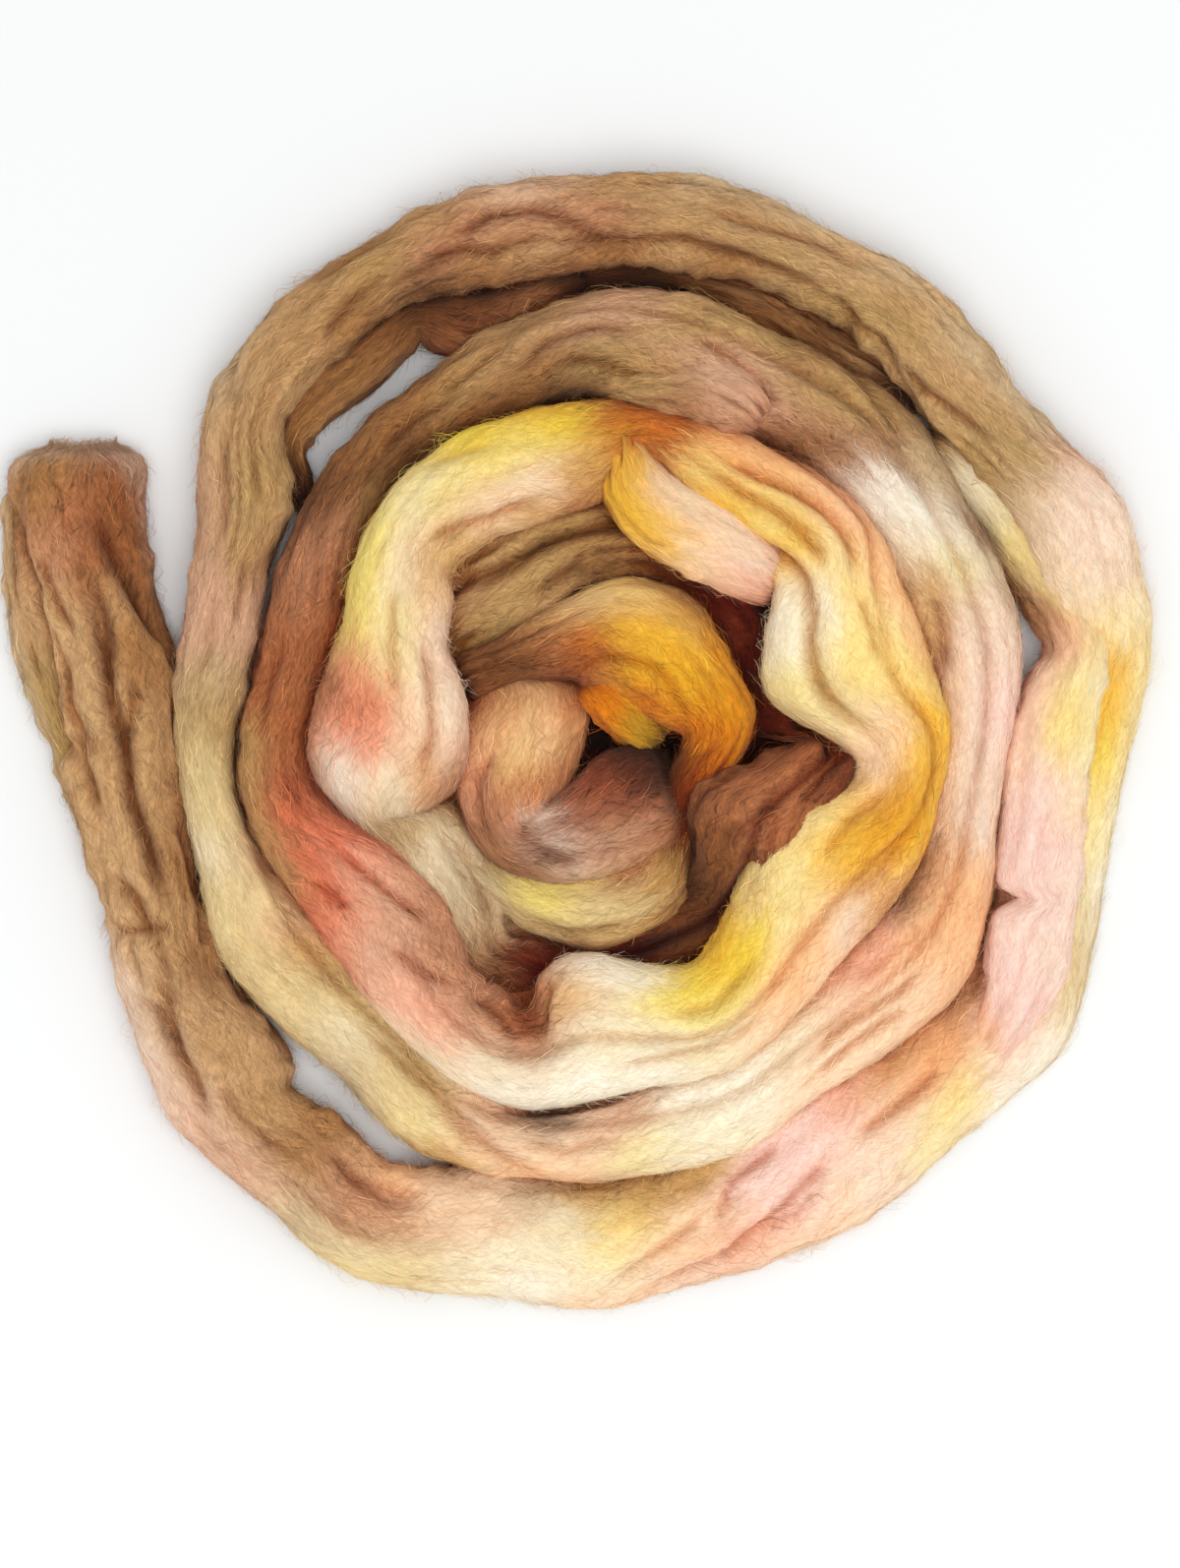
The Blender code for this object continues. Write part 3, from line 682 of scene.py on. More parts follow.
        Dye.ORANGE_PEACH: ((160, -120),),
    },
    Stretch.TOP_LEFT_LEDGE: {
        Dye.DARK_UMBER_AND_SHADE: ((0, 188), (-60, 181), (-62, 172), (-48, 174), (-36, 176), (-114, 104), (-112, 95)),
        Dye.UMBER: ((-72, 162),),
        Dye.ROSEWOOD: ((-34, 166), (-44, 164)),
        Dye.CAMEL_DARK: ((-74, 158), (-98, 142), (-112, 124)),
        Dye.TAUPE: ((-20, 178),),
    },
    # Painted shade: the band's lower side is dyed near black for the shadowed gap beneath it.
    Stretch.TOP_UNDER_BAND: {
        Dye.UMBER: ((6, 190), (60, 176), (102, 160)),
        Dye.PAINTED_SHADE_BLACK: ((2, 183), (20, 182), (38, 181)),
        Dye.CAMEL_DARK: ((46, 190), (78, 175)),
        Dye.CAMEL: ((70, 184), (112, 158)),
        Dye.DARK_UMBER_AND_SHADE: ((126, 142), (136, 132)),
    },
    Stretch.SECOND_TURN_LOBE: {
        Dye.TAUPE: ((14, 152), (44, 134)),
        Dye.OLIVE: ((26, 146), (14, 140)),
        Dye.PINK_TAUPE: ((46, 156), (34, 160)),
        Dye.DUSTY_PINK: ((62, 146), (60, 138)),
        Dye.ROSE_BROWN: ((72, 132), (62, 128)),
    },
    Stretch.THIRD_TURN_FLAP: {
        Dye.RUST_ORANGE: ((22, 128),),
        Dye.GOLD: ((22, 112), (16, 98), (24, 90), (34, 80)),
        Dye.PEACH: ((38, 106), (46, 92), (60, 78), (44, 74), (32, 102)),
        Dye.BLUSH: ((70, 70),),
        Dye.SALMON: ((78, 58), (68, 62)),
    },
    Stretch.HEART_LOBE: {
        Dye.ORANGE: ((10, 18), (14, 10), (22, 26)),
        Dye.OLIVE_GOLD: ((26, 6), (34, 4), (32, 0)),
        Dye.AMBER: ((30, 16),),
    },
    # Painted shade: the low wool under the heart's holes is dyed near black for the shade in them.
    Stretch.HEART_FLOOR: {
        Dye.DARK_UMBER_AND_SHADE: ((-46, 24), (-8, 10)),
        Dye.PAINTED_SHADE_BLACK: ((38, -4), (20, 0)),
        Dye.DARK_BRICK_AND_SHADE: ((60, 0),),
    },
}

# The creases that were laid one by one.
CREASES: dict[Stretch, tuple[Crease, ...]] = {
    Stretch.LOOSE_END: rows_of(
        Crease,
        (6, 3.5, ((-198, 95), (-180, 59), (-164, 38))),
        (6, 3, ((-233, 102), (-228, 82), (-220, 62), (-218, 41), (-215, 17), (-212, 1), (-203, -7), (-196, -21))),
        (4, 2.4, ((-164, -30), (-159, -50), (-154, -72))),
        (10.5, 3, ((-200, 60), (-194, 43), (-190, 14), (-184, -5), (-182, -23), (-176, -38), (-170, -57), (-164, -73))),
        (6, 3, ((-179, 27), (-181, 14), (-183, -2))), (4.5, 4, ((-210, 41), (-207, 14), (-198, 1), (-187, -6))),
        (5.2, 3, ((-205, 5), (-199, -13), (-194, -30))), (6.8, 3, ((-190, -53), (-180, -63), (-174, -78))),
        (4.5, 3, ((-189, -79), (-176, -77), (-164, -75))), (4.5, 2.5, ((-218, 78), (-210, 54), (-205, 42))),
        (6, 3, ((-182, -100), (-170, -110), (-162, -127), (-153, -144), (-151, -156))),
        (4.5, 3, ((-170, -93), (-166, -106), (-164, -117), (-161, -133))),
        (2.5, 3.5, ((-101, -171), (-78, -181), (-56, -185))),
    ),
    Stretch.OUTER_TURN: rows_of(
        Crease,
        (5, 3.5, ((22, -226), (58, -211), (80, -190), (97, -173), (106, -161))),
        (3, 3, ((10, -223), (32, -207), (54, -190))), (4, 3, ((54, -198), (61, -178), (82, -161))),
        (4.5, 3, ((111, -161), (128, -149), (142, -137), (147, -130))),
        (3, 3, ((70, -202), (87, -192), (97, -178))),
        (6, 3, ((-59, 203), (-47, 205), (-35, 213), (-20, 215), (-8, 212), (6, 203), (22, 195))),
        (5, 3, ((-62, 189), (-58, 195), (-47, 199), (-34, 197), (-26, 202))),
        (5, 3, ((6, 212), (19, 201), (41, 203), (53, 199), (68, 195), (82, 189), (94, 183), (100, 172))),
        (5, 3, ((100, 182), (110, 168), (121, 161), (129, 148))),
        (4, 3, ((129, 154), (139, 142), (154, 130), (170, 120))),
        (3, 3, ((46, 216), (70, 208), (98, 202), (118, 188))), (3, 3, ((-114, 182), (-96, 194), (-74, 208))),
        (3, 3, ((-102, 162), (-92, 178), (-76, 188))), (3, 3, ((-140, 134), (-138, 162), (-126, 178))),
        (2.5, 3, ((-146, 78), (-144, 110), (-140, 130))), (2, 3, ((-152, 26), (-149, 54))),
    ),
    Stretch.SECOND_TURN: rows_of(
        Crease,
        (6, 3, ((-34, -147), (-16, -150), (4, -146), (20, -143))),
        (3.5, 3, ((-92, -110), (-74, -129), (-59, -141), (-50, -150), (-36, -165), (-10, -179))),
        (3, 3, ((-58, -141), (-52, -152), (-40, -167))),
        (2.5, 3, ((-26, -159), (-6, -166), (10, -161), (22, -163))),
        (4, 3, ((90, -130), (109, -113), (130, -101), (140, -88))),
        (4, 3, ((92, -138), (106, -126), (122, -114), (138, -106))), (2, 3, ((110, -98), (126, -86), (142, -70))),
        (3, 3, ((142, 62), (146, 46), (146, 26))), (4, 3, ((42, 164), (58, 156), (70, 144), (79, 132))),
        (3.5, 3, ((-26, 146), (-16, 160), (2, 166), (26, 164))),
        (4, 3, ((-14, 148), (-2, 153), (22, 146), (42, 140))), (3, 3, ((-58, 138), (-42, 150), (-26, 162))),
        (3, 3, ((-82, 114), (-66, 130), (-46, 140))), (3, 3, ((86, 170), (106, 154), (122, 134), (134, 114))),
        (2.5, 3, ((-126, 66), (-120, 86), (-110, 102))),
    ),
    Stretch.THIRD_TURN: rows_of(
        Crease,
        (3.5, 3, ((-108, -55), (-101, -62), (-92, -70))), (4, 3, ((-100, -42), (-78, -60), (-59, -75))),
        (3.5, 3, ((-78, -81), (-63, -93), (-48, -98))), (3, 3, ((-120, 42), (-126, 22), (-129, -2))),
        (3, 3, ((-114, -18), (-104, -36), (-94, -50))), (2.5, 3, ((34, -108), (54, -106), (63, -96), (72, -84))),
        (3, 3, ((110, 62), (117, 45), (120, 30))),
        (6, 3, ((52, 115), (72, 106), (87, 99), (99, 91), (108, 76), (111, 62))),
        (8, 3.5, ((24, 123), (32, 107), (45, 94), (64, 80), (79, 74), (88, 65), (93, 51), (92, 39), (94, 27),
                  (105, 12), (116, 2), (117, -9))),
        (4, 3, ((46, 114), (64, 100), (79, 92), (93, 78), (99, 62))), (2.5, 3, ((96, -51), (111, -29), (123, -18))),
        (2.5, 3, ((105, -69), (120, -53), (135, -31))), (3, 3, ((10, -132), (46, -124), (78, -106))),
        (9, 7, ((-24, -98), (-22, -108), (-21, -120))), (4, 3, ((-40, -102), (-30, -112), (-22, -122))),
        (4, 3, ((-10, -96), (-14, -108), (-18, -122))), (4, 3, ((-61, 40), (-59, 22), (-58, 2), (-64, -14))),
        (2.5, 3, ((-72, 66), (-74, 38), (-72, 14))), (2, 3, ((-62, 110), (-46, 116), (-30, 119))),
        (4, 3, ((-62, 78), (-52, 84), (-34, 88), (-14, 96))),
    ),
    Stretch.FOURTH_TURN: rows_of(
        Crease,
        (3, 3, ((54, -38), (70, -34), (82, -18))), (3, 3, ((64, -58), (76, -42), (82, -26))),
        (6, 3, ((106, -1), (101, -11), (94, -19), (88, -27))), (3, 3, ((-42, 62), (-26, 70), (-10, 84))),
        (3.5, 3, ((-18, 58), (-2, 70), (4, 78))), (3, 3, ((-52, -38), (-42, -54), (-37, -74))),
        (6, 3, ((-30, -72), (-31, -84), (-35, -93))),
    ),
    Stretch.HEART: rows_of(
        Crease,
        (3, 3, ((-22, -58), (-2, -64), (22, -58), (42, -42))), (3, 3, ((-26, -70), (-6, -78), (22, -72))),
        (3, 3, ((-2, 26), (14, 34), (34, 26), (46, 6))), (3, 3, ((-34, -2), (-42, -18), (-38, -38))),
        (4, 3, ((-16, -28), (-22, -33), (-18, -42), (2, -52))),
    ),
}


# Where the outer edge is drawn out thin: from one place in plan to another.
THIN_EDGES: dict[Stretch, tuple[tuple[float, float], tuple[float, float]]] = {
    Stretch.OUTER_TURN: ((-76, -200), (222, 6)),
}
THIN_FROM = 0.3  # from this far across, where 1 is the edge
THIN_SHARE = 0.62  # of the thickness that is gone at the edge
THIN_CURVE = 1.5  # how late most of it goes
THIN_FADE = 60.0  # the length over which the thinning sets in and ends

# ---------------------------------------------------------------- working out the shapes


def smooth_through(rows: Sequence[Sequence[float]], steps: int) -> Array:
    """A Catmull-Rom curve through the rows, each column on its own.

    Between rows b and c, with a before and d after, the curve at t from 0 to 1 is
    (2b + (c - a)t + (2a - 5b + 4c - d)t^2 + (3b - a - 3c + d)t^3) / 2.

    Args:
        rows: the rows of numbers that the curve passes through.
        steps: how many places to work out between two rows.

    Returns:
        One row for each place along the curve.
    """
    knots = np.asarray(rows, float)
    knots = np.vstack([2 * knots[0] - knots[1], knots, 2 * knots[-1] - knots[-2]])
    a, b, c, d = (knots[i : len(knots) - 3 + i, None] for i in range(4))
    t = np.linspace(0, 1, steps, endpoint=False)[None, :, None]
    square, cube = 2 * a - 5 * b + 4 * c - d, 3 * b - a - 3 * c + d
    between = 0.5 * (2 * b + (c - a) * t + square * t**2 + cube * t**3)
    return np.vstack([between.reshape(-1, knots.shape[1]), knots[-2:-1]])


def lattice_noise(along: Array, across: Array, wave: tuple[float, float], period: float, seed: int) -> Array:
    """Smooth noise from -1 to 1 that repeats across the strand every period.

    Random numbers on a lattice, blended between its nearest four by 3f^2 - 2f^3 both ways.

    Args:
        along: places along the strand.
        across: places round the strand.
        wave: the lattice's spacing along and across.
        period: the distance round the strand after which the noise repeats.
        seed: which noise.

    Returns:
        The noise at each place.
    """
    around = max(2, round(period / wave[1]))
    x = along / wave[0]
    y = across / period * around
    x_cell, y_cell = np.floor(x).astype(int), np.floor(y).astype(int)
    values = np.random.default_rng(seed).uniform(-1, 1, (LATTICE_ROWS, around))
    row, next_row = x_cell % LATTICE_ROWS, (x_cell + 1) % LATTICE_ROWS
    fx, fy = x - x_cell, y - y_cell
    fx, fy = fx * fx * (3 - 2 * fx), fy * fy * (3 - 2 * fy)
    near, far = y_cell % around, (y_cell + 1) % around
    low = values[row, near] * (1 - fy) + values[row, far] * fy
    high = values[next_row, near] * (1 - fy) + values[next_row, far] * fy
    return low * (1 - fx) + high * fx


def layered(layers: Iterable[Waves], along: Array, around: Array, period: float) -> Array:
    """Several layers of smooth noise, each times its strength, added up.

    Args:
        layers: the layers.
        along: places along the strand.
        around: places round the strand.
        period: the distance round the strand after which the noise repeats.

    Returns:
        The sum at each place.
    """
    return sum(
        layer.strength * lattice_noise(along, around, (layer.along, layer.around), period, layer.seed)
        for layer in layers
    )


def at_least(least: float, share: Array) -> Array:
    """A share from 0 to 1 as one from the least to 1: least + (1 - least) * share."""
    return least + (1 - least) * share


def ramp(value: Array, least: float, full: float) -> Array:
    """A value's share s of the way from least to full, which starts and ends softly: s^2 * (3 - 2s)."""
    share = np.clip((value - least) / (full - least), 0, 1)
    return share * share * (3 - 2 * share)


def unit(vectors: Array) -> Array:
    """The vectors at length 1."""
    return vectors / np.maximum(np.linalg.norm(vectors, axis=-1, keepdims=True), 1e-12)


@dataclass
class RimShape:
    """The places round a section, evenly spaced, with most of them on the part that shows.

    A section is a full oval: across = |cos t|^SHOULDER and up = |sin t|^SHOULDER, each with its
    sign, for t from 0 at the outer edge over the top to the inner edge and back underneath.

    Args:
        over: how many places from edge to edge over the top.
        under: how many places on the way back underneath.
        flatness: height of a usual section for its width.
        fine_steps: how many steps round the oval are measured.
        dip: the fine spacing runs on past each edge by this share of half a round.
    """

    over: int
    under: int
    flatness: float = 0.62
    fine_steps: int = 4000
    dip: float = 0.12
    across: Array = field(init=False)
    up: Array = field(init=False)
    around: Array = field(init=False)

    def __post_init__(self) -> None:
        """Works out the places and how far round each one lies, from 0 to 1."""
        turn = np.linspace(0, 2 * np.pi, self.fine_steps + 1)
        across = np.sign(np.cos(turn)) * np.abs(np.cos(turn)) ** SHOULDER
        up = np.sign(np.sin(turn)) * np.abs(np.sin(turn)) ** SHOULDER
        length = np.r_[0, np.cumsum(np.hypot(np.diff(across), np.diff(up) * self.flatness))]
        half = length[self.fine_steps // 2]
        dip = self.dip * half
        top = np.linspace(-dip, half + dip, self.over, endpoint=False)
        bottom = np.linspace(half + dip, 2 * half - dip, self.under, endpoint=False)
        wanted = np.r_[top, bottom] % length[-1]
        self.across = np.interp(wanted, length, across)
        self.up = np.interp(wanted, length, up)
        self.around = np.r_[top, bottom] / length[-1]


@dataclass
class Strand:
    """A length of roving as a closed skin on a grid: places along it by places round it.

    Args:
        rows: the cuts that it is lofted through.
        labels: the stretch that each cut belongs to.
        rim: the places round a section.
        ring_gap: how far apart the rings are along the strand.
        first_along: where the strand starts, so that its pattern differs from another's.
    """

    rows: Array
    labels: list[Stretch]
    rim: RimShape
    ring_gap: float
    first_along: float = 0.0

    def __post_init__(self) -> None:
        """Lofts the skin: the table's columns, spaced evenly along the strand's middle."""
        fine = smooth_through(self.rows, LOFT_STEPS)
        middle = (fine[:, 0:2] + fine[:, 2:4]) / 2
        length = np.r_[0, np.cumsum(np.linalg.norm(np.diff(middle, axis=0), axis=1))]
        self.length = float(length[-1])
        count = max(LEAST_RINGS, round(self.length / self.ring_gap))
        self.along = np.linspace(0, self.length, count)
        table = np.stack([np.interp(self.along, length, column) for column in fine.T], 1)
        row_at = np.interp(self.along, length, np.arange(len(length)) / LOFT_STEPS)
        self.label_at = np.clip(np.floor(row_at).astype(int), 0, len(self.labels) - 1)
        self.outer, self.inner = table[:, 0:2], table[:, 2:4]
        self.thick, self.lift = table[:, 4], table[:, 5]
        self.middle = (self.outer + self.inner) / 2
        self.half = (self.outer - self.inner) / 2
        self.half_width = np.linalg.norm(self.half, axis=1)
        to_end = np.minimum(self.along, self.length - self.along)
        closed = np.clip(to_end / END_ROUNDING, 0, 1)
        self.closing = np.sqrt(np.clip(1 - (1 - closed) ** 2, LEAST_END_HEIGHT, 1))
        square = np.clip(1 - (1 - closed) ** END_SQUARENESS, LEAST_END_WIDTH, 1)
        self.closing_wide = square ** (1 / END_SQUARENESS)
        self.skin = self._smooth_skin()
        self._thin_outer_edge()
        self.normal = self._normals()
        # How much painted shade each place gets in a crease, set by the relief.
        self.painted_shade = np.zeros(self.skin.shape[:2])

    @property
    def shape(self) -> tuple[int, int]:
        """Rings along the strand and places round it."""
        return self.skin.shape[:2]

    def _smooth_skin(self) -> Array:
        """The skin before folds and creases: middle + half * across, and lift + height * (1 + up) / 2."""
        across = self.closing_wide[:, None] * self.rim.across
        xy = self.middle[:, None] + self.half[:, None] * across[..., None]
        height = (self.thick + SINK)[:, None]
        z = self.lift[:, None] - SINK + height / 2 * (1 + self.closing[:, None] * self.rim.up)
        return np.dstack([xy, z])

    def _thin_outer_edge(self) -> None:
        """Draws the wool out thin towards its outer edge, where the table of thin edges says so."""
        for label, ((x, y), (end_x, end_y)) in THIN_EDGES.items():
            if label in self.labels:
                first, last = self.find(x, y, label)[0], self.find(end_x, end_y, label)[0]
                inside = np.clip(np.minimum(self.along - first, last - self.along) / THIN_FADE, 0, 1)
                outward = np.clip((self.rim.across - THIN_FROM) / (1 - THIN_FROM), 0, 1)
                self.skin[..., 2] *= 1 - THIN_SHARE * inside[:, None] * outward**THIN_CURVE

    def _normals(self) -> Array:
        """Outward normals: the cross product of the skin's run along and its run round."""
        run_along = np.gradient(self.skin, axis=0)
        run_round = np.roll(self.skin, -1, axis=1) - np.roll(self.skin, 1, axis=1)
        normal = unit(np.cross(run_along, run_round))
        outward = np.einsum("ijk,ijk->ij", normal, self.skin - self.skin.mean(axis=1, keepdims=True))
        return normal * np.sign(outward.mean())

    def places(self) -> tuple[Array, Array]:
        """How far along and how far round each place of the skin lies, in millimetres."""
        along = np.broadcast_to((self.along + self.first_along)[:, None], self.shape)
        around = np.broadcast_to(self.rim.around[None] * RELIEF.girth, self.shape)
        return along, around

    def chart(self) -> tuple[Array, Array]:
        """Where each place lies for the dyes: along the middle, and across it in plan."""
        along = np.broadcast_to(self.along[:, None], self.shape)
        across = self.half_width[:, None] * self.rim.across[None]
        return along, across

    def find(self, x: float, y: float, label: Stretch) -> tuple[float, float]:
        """The chart's place that lies at a point in plan, on one stretch of the strand.

        Where the stretch passes there twice, the higher pass counts, which is the one that shows.

        Args:
            x: the point's x.
            y: the point's y.
            label: the stretch to look on.

        Returns:
            How far along and across it is, both in millimetres.
        """
        named = np.flatnonzero(np.array([name == label for name in self.labels])[self.label_at])
        reach = round(SEARCH_REACH / self.ring_gap)
        on = np.zeros(len(self.along), bool)
        on[max(named[0] - reach, 0) : named[-1] + reach] = True
        offset = np.array([x, y]) - self.middle
        side = unit(self.half)
        across = np.einsum("ij,ij->i", offset, side)
        off_line = np.linalg.norm(offset - across[:, None] * side, axis=1)
        beside = np.maximum(np.abs(across) - self.half_width - EDGE_SLACK, 0)
        cost = off_line + beside - HIGHER_COUNTS * (self.lift + self.thick) + ELSEWHERE * ~on
        best = int(np.argmin(cost))
        return float(self.along[best]), float(across[best])

    def displace(self, height: Array) -> None:
        """Moves the skin out by a height at each place, and keeps it above the floor."""
        self.skin = self.skin + self.normal * height[..., None]
        self.skin[..., 2] = np.maximum(self.skin[..., 2], FLOOR_CLEARANCE)
        self.normal = self._normals()

    def at(self, ring: Array, round_: Array) -> tuple[Array, Array]:
        """The skin's places and normals between its grid points.

        Args:
            ring: ring numbers, with fractions.
            round_: numbers round the rim, with fractions, from 0 to the rim's count.

        Returns:
            The places and the normals there.
        """
        rings, rim = self.shape
        ring = np.clip(ring, 0, rings - LAST_CELL)
        i, j = np.floor(ring).astype(int), np.floor(round_).astype(int)
        fi, fj = (ring - i)[..., None], (round_ - j)[..., None]
        j, k = j % rim, (j + 1) % rim
        found = []
        for grid in (self.skin, self.normal):
            low = grid[i, j] * (1 - fj) + grid[i, k] * fj
            high = grid[i + 1, j] * (1 - fj) + grid[i + 1, k] * fj
            found.append(low * (1 - fi) + high * fi)
        return found[0], unit(found[1])


# How strongly the relief stands out on a stretch, where that is not 1.
RELIEF_SHARES: dict[Stretch, float] = {
    Stretch.LOOSE_END: 1.05,
    Stretch.OUTER_TURN: 0.7,
    Stretch.SECOND_TURN: 0.5,
    Stretch.THIRD_TURN: 0.42,
    Stretch.HEART: 0.4,
}


@dataclass(frozen=True)
class Relief:
    """The lengthwise folds and creases of combed wool, drawn out along the strand."""

    girth: float = 132.0  # a usual distance round a section
    wander: float = 5.0  # how far sideways a fold drifts
    fold: float = 1.15  # how far the broad folds stand up and down
    lump: float = 1.3  # the same of the short lumps of felted wool
    strand: float = 0.16  # the same of the small strands
    ragged: float = 3.6  # how far an edge of felted wool strays
    crease_gap: float = 7.5  # the strand's length for each crease that chance lays
    crease_depth: tuple[float, float] = (1.0, 3.4)
    crease_width: tuple[float, float] = (1.5, 2.8)
    crease_length: tuple[float, float] = (14.0, 75.0)
    blend: int = 6  # rings over which one stretch's relief passes into the next's
    drift_waves: Waves = Waves(70, 44, 11)
    fold_waves: tuple[Waves, ...] = (Waves(90, 18, 12), Waves(46, 8, 13, 0.4))
    strand_waves: tuple[Waves, ...] = (Waves(24, 3.4, 14),)
    lump_waves: tuple[Waves, ...] = (Waves(24, 12, 15), Waves(11, 6, 16, 0.6))
    ragged_waves: tuple[Waves, ...] = (Waves(17, 30, 17, 0.6), Waves(6, 12, 18, 0.8))
    ragged_curve: int = 5  # how close to the edge the straying keeps
    smooth_fold: float = 0.3  # what smooth wool has of a felted fold's height
    smooth_ragged: float = 0.4  # the same of its ragged edge
    smooth_crease: float = 0.25  # and of a crease that chance lays
    lip: float = 0.35  # how high the wool swells beside a crease, for its depth
    full_depth: float = 4.0  # the depth at which a crease's painted shade is full
    shown_at_edge: float = 0.6  # how much of the relief an edge has
    shown_slope: float = 1.6  # and how fast that grows upwards
    chance_seed: int = 41
    crease_cut: tuple[float, float] = (0.4, 1.0)  # what chance leaves of a crease's length
    crease_slant: float = 0.07  # how far it slants, for its length

    def drift(self, along: Array, around: Array) -> Array:
        """How far sideways the folds have drifted at each place."""
        return self.wander * layered((self.drift_waves,), along, around, self.girth)

    def press(self, strand: Strand, felted: Array) -> None:
        """Raises the folds and presses the creases into a strand's skin.

        The height is the sum of noises whose waves are longer along than across, less the creases.

        Args:
            strand: the strand, whose skin is moved.
            felted: how rough the wool is at each place, from 0 to 1.
        """
        along, around = strand.places()
        bent = around + self.drift(along, around)

        def noise(layers: Iterable[Waves]) -> Array:
            return layered(layers, along, bent, self.girth)

        height = self.fold * noise(self.fold_waves) * at_least(self.smooth_fold, felted)
        height += self.strand * noise(self.strand_waves)
        height += self.lump * felted * noise(self.lump_waves)
        edge = np.abs(strand.rim.across) ** self.ragged_curve
        height += self.ragged * at_least(self.smooth_ragged, felted) * edge * noise(self.ragged_waves)
        # How much painted shade each place gets from the creases.
        painted_shade = np.zeros(strand.shape)
        self._sink(height, painted_shade, self._chance(strand, along, bent, felted))
        shares = np.array([RELIEF_SHARES.get(label, 1.0) for label in strand.labels])[strand.label_at]
        window = 2 * self.blend + 1
        shares = np.convolve(np.pad(shares, self.blend, "edge"), np.ones(window) / window, "valid")[:, None]
        height, painted_shade = height * shares, painted_shade * np.minimum(shares, 1)
        self._sink(height, painted_shade, self._laid(strand))
        shows = np.clip(self.shown_at_edge + self.shown_slope * strand.rim.up, 0, 1)
        ends = np.clip(strand.closing, 0, 1) ** 2
        strand.displace(height * shows * ends[:, None])
        strand.painted_shade = painted_shade * shows

    def _sink(self, height: Array, painted_shade: Array, troughs: Iterable[tuple[float, "Trough"]]) -> None:
        """Presses troughs into the height, and marks how much painted shade each place gets in a crease.

        The height sinks by deep * (bell - lip * swelling), and the painted-shade mark is bell^2 for a deep crease.

        Args:
            height: the relief's height, which is changed.
            painted_shade: the painted-shade mark from 0 to 1, which is changed.
            troughs: each trough with its depth.
        """
        for deep, trough in troughs:
            height -= deep * (trough.bell - self.lip * trough.lip)
            np.maximum(painted_shade, trough.bell**2 * min(1.0, deep / self.full_depth), out=painted_shade)

    def _laid(self, strand: Strand) -> Iterator[tuple[float, "Trough"]]:
        """The creases of the table that lie on this strand, each with its depth."""
        along, across = strand.chart()
        for label in dict.fromkeys(strand.labels):
            for crease in CREASES.get(label, ()):
                route = np.array([strand.find(x, y, label) for x, y in crease.places])
                on_top = strand.rim.up > 0
                yield crease.deep, Trough.along_route(route, crease.wide, along, across, on_top)

    def _chance(
        self, strand: Strand, along: Array, bent: Array, felted: Array
    ) -> Iterator[tuple[float, "Trough"]]:
        """Creases that chance lays, deeper where the wool is felted.

        Args:
            strand: the strand.
            along: how far along each place lies.
            bent: how far round it lies, along the run of the folds.
            felted: how rough the wool is there.

        Yields:
            Each crease's depth and trough.
        """
        random = np.random.default_rng(int(strand.first_along) + self.chance_seed)
        over = self.girth * strand.rim.around[strand.rim.over]
        for _ in range(round(strand.length / self.crease_gap)):
            start = along[0, 0] + random.uniform(0, strand.length)
            place = random.uniform(0, over)
            length = random.uniform(*self.crease_length) * random.uniform(*self.crease_cut)
            slant = random.normal(0, self.crease_slant)
            deep = random.uniform(*self.crease_depth)
            wide = random.uniform(*self.crease_width)
            route = np.array([(start, place), (start + length, place + slant * length)])
            at_middle = (start + length / 2 - along[0, 0]) / strand.ring_gap
            ring = int(np.clip(at_middle, 0, strand.shape[0] - 1))
            rough = felted[ring, int(np.argmin(np.abs(strand.rim.around * self.girth - place)))]
            yield deep * at_least(self.smooth_crease, rough), Trough.along_route(route, wide, along, bent, True)


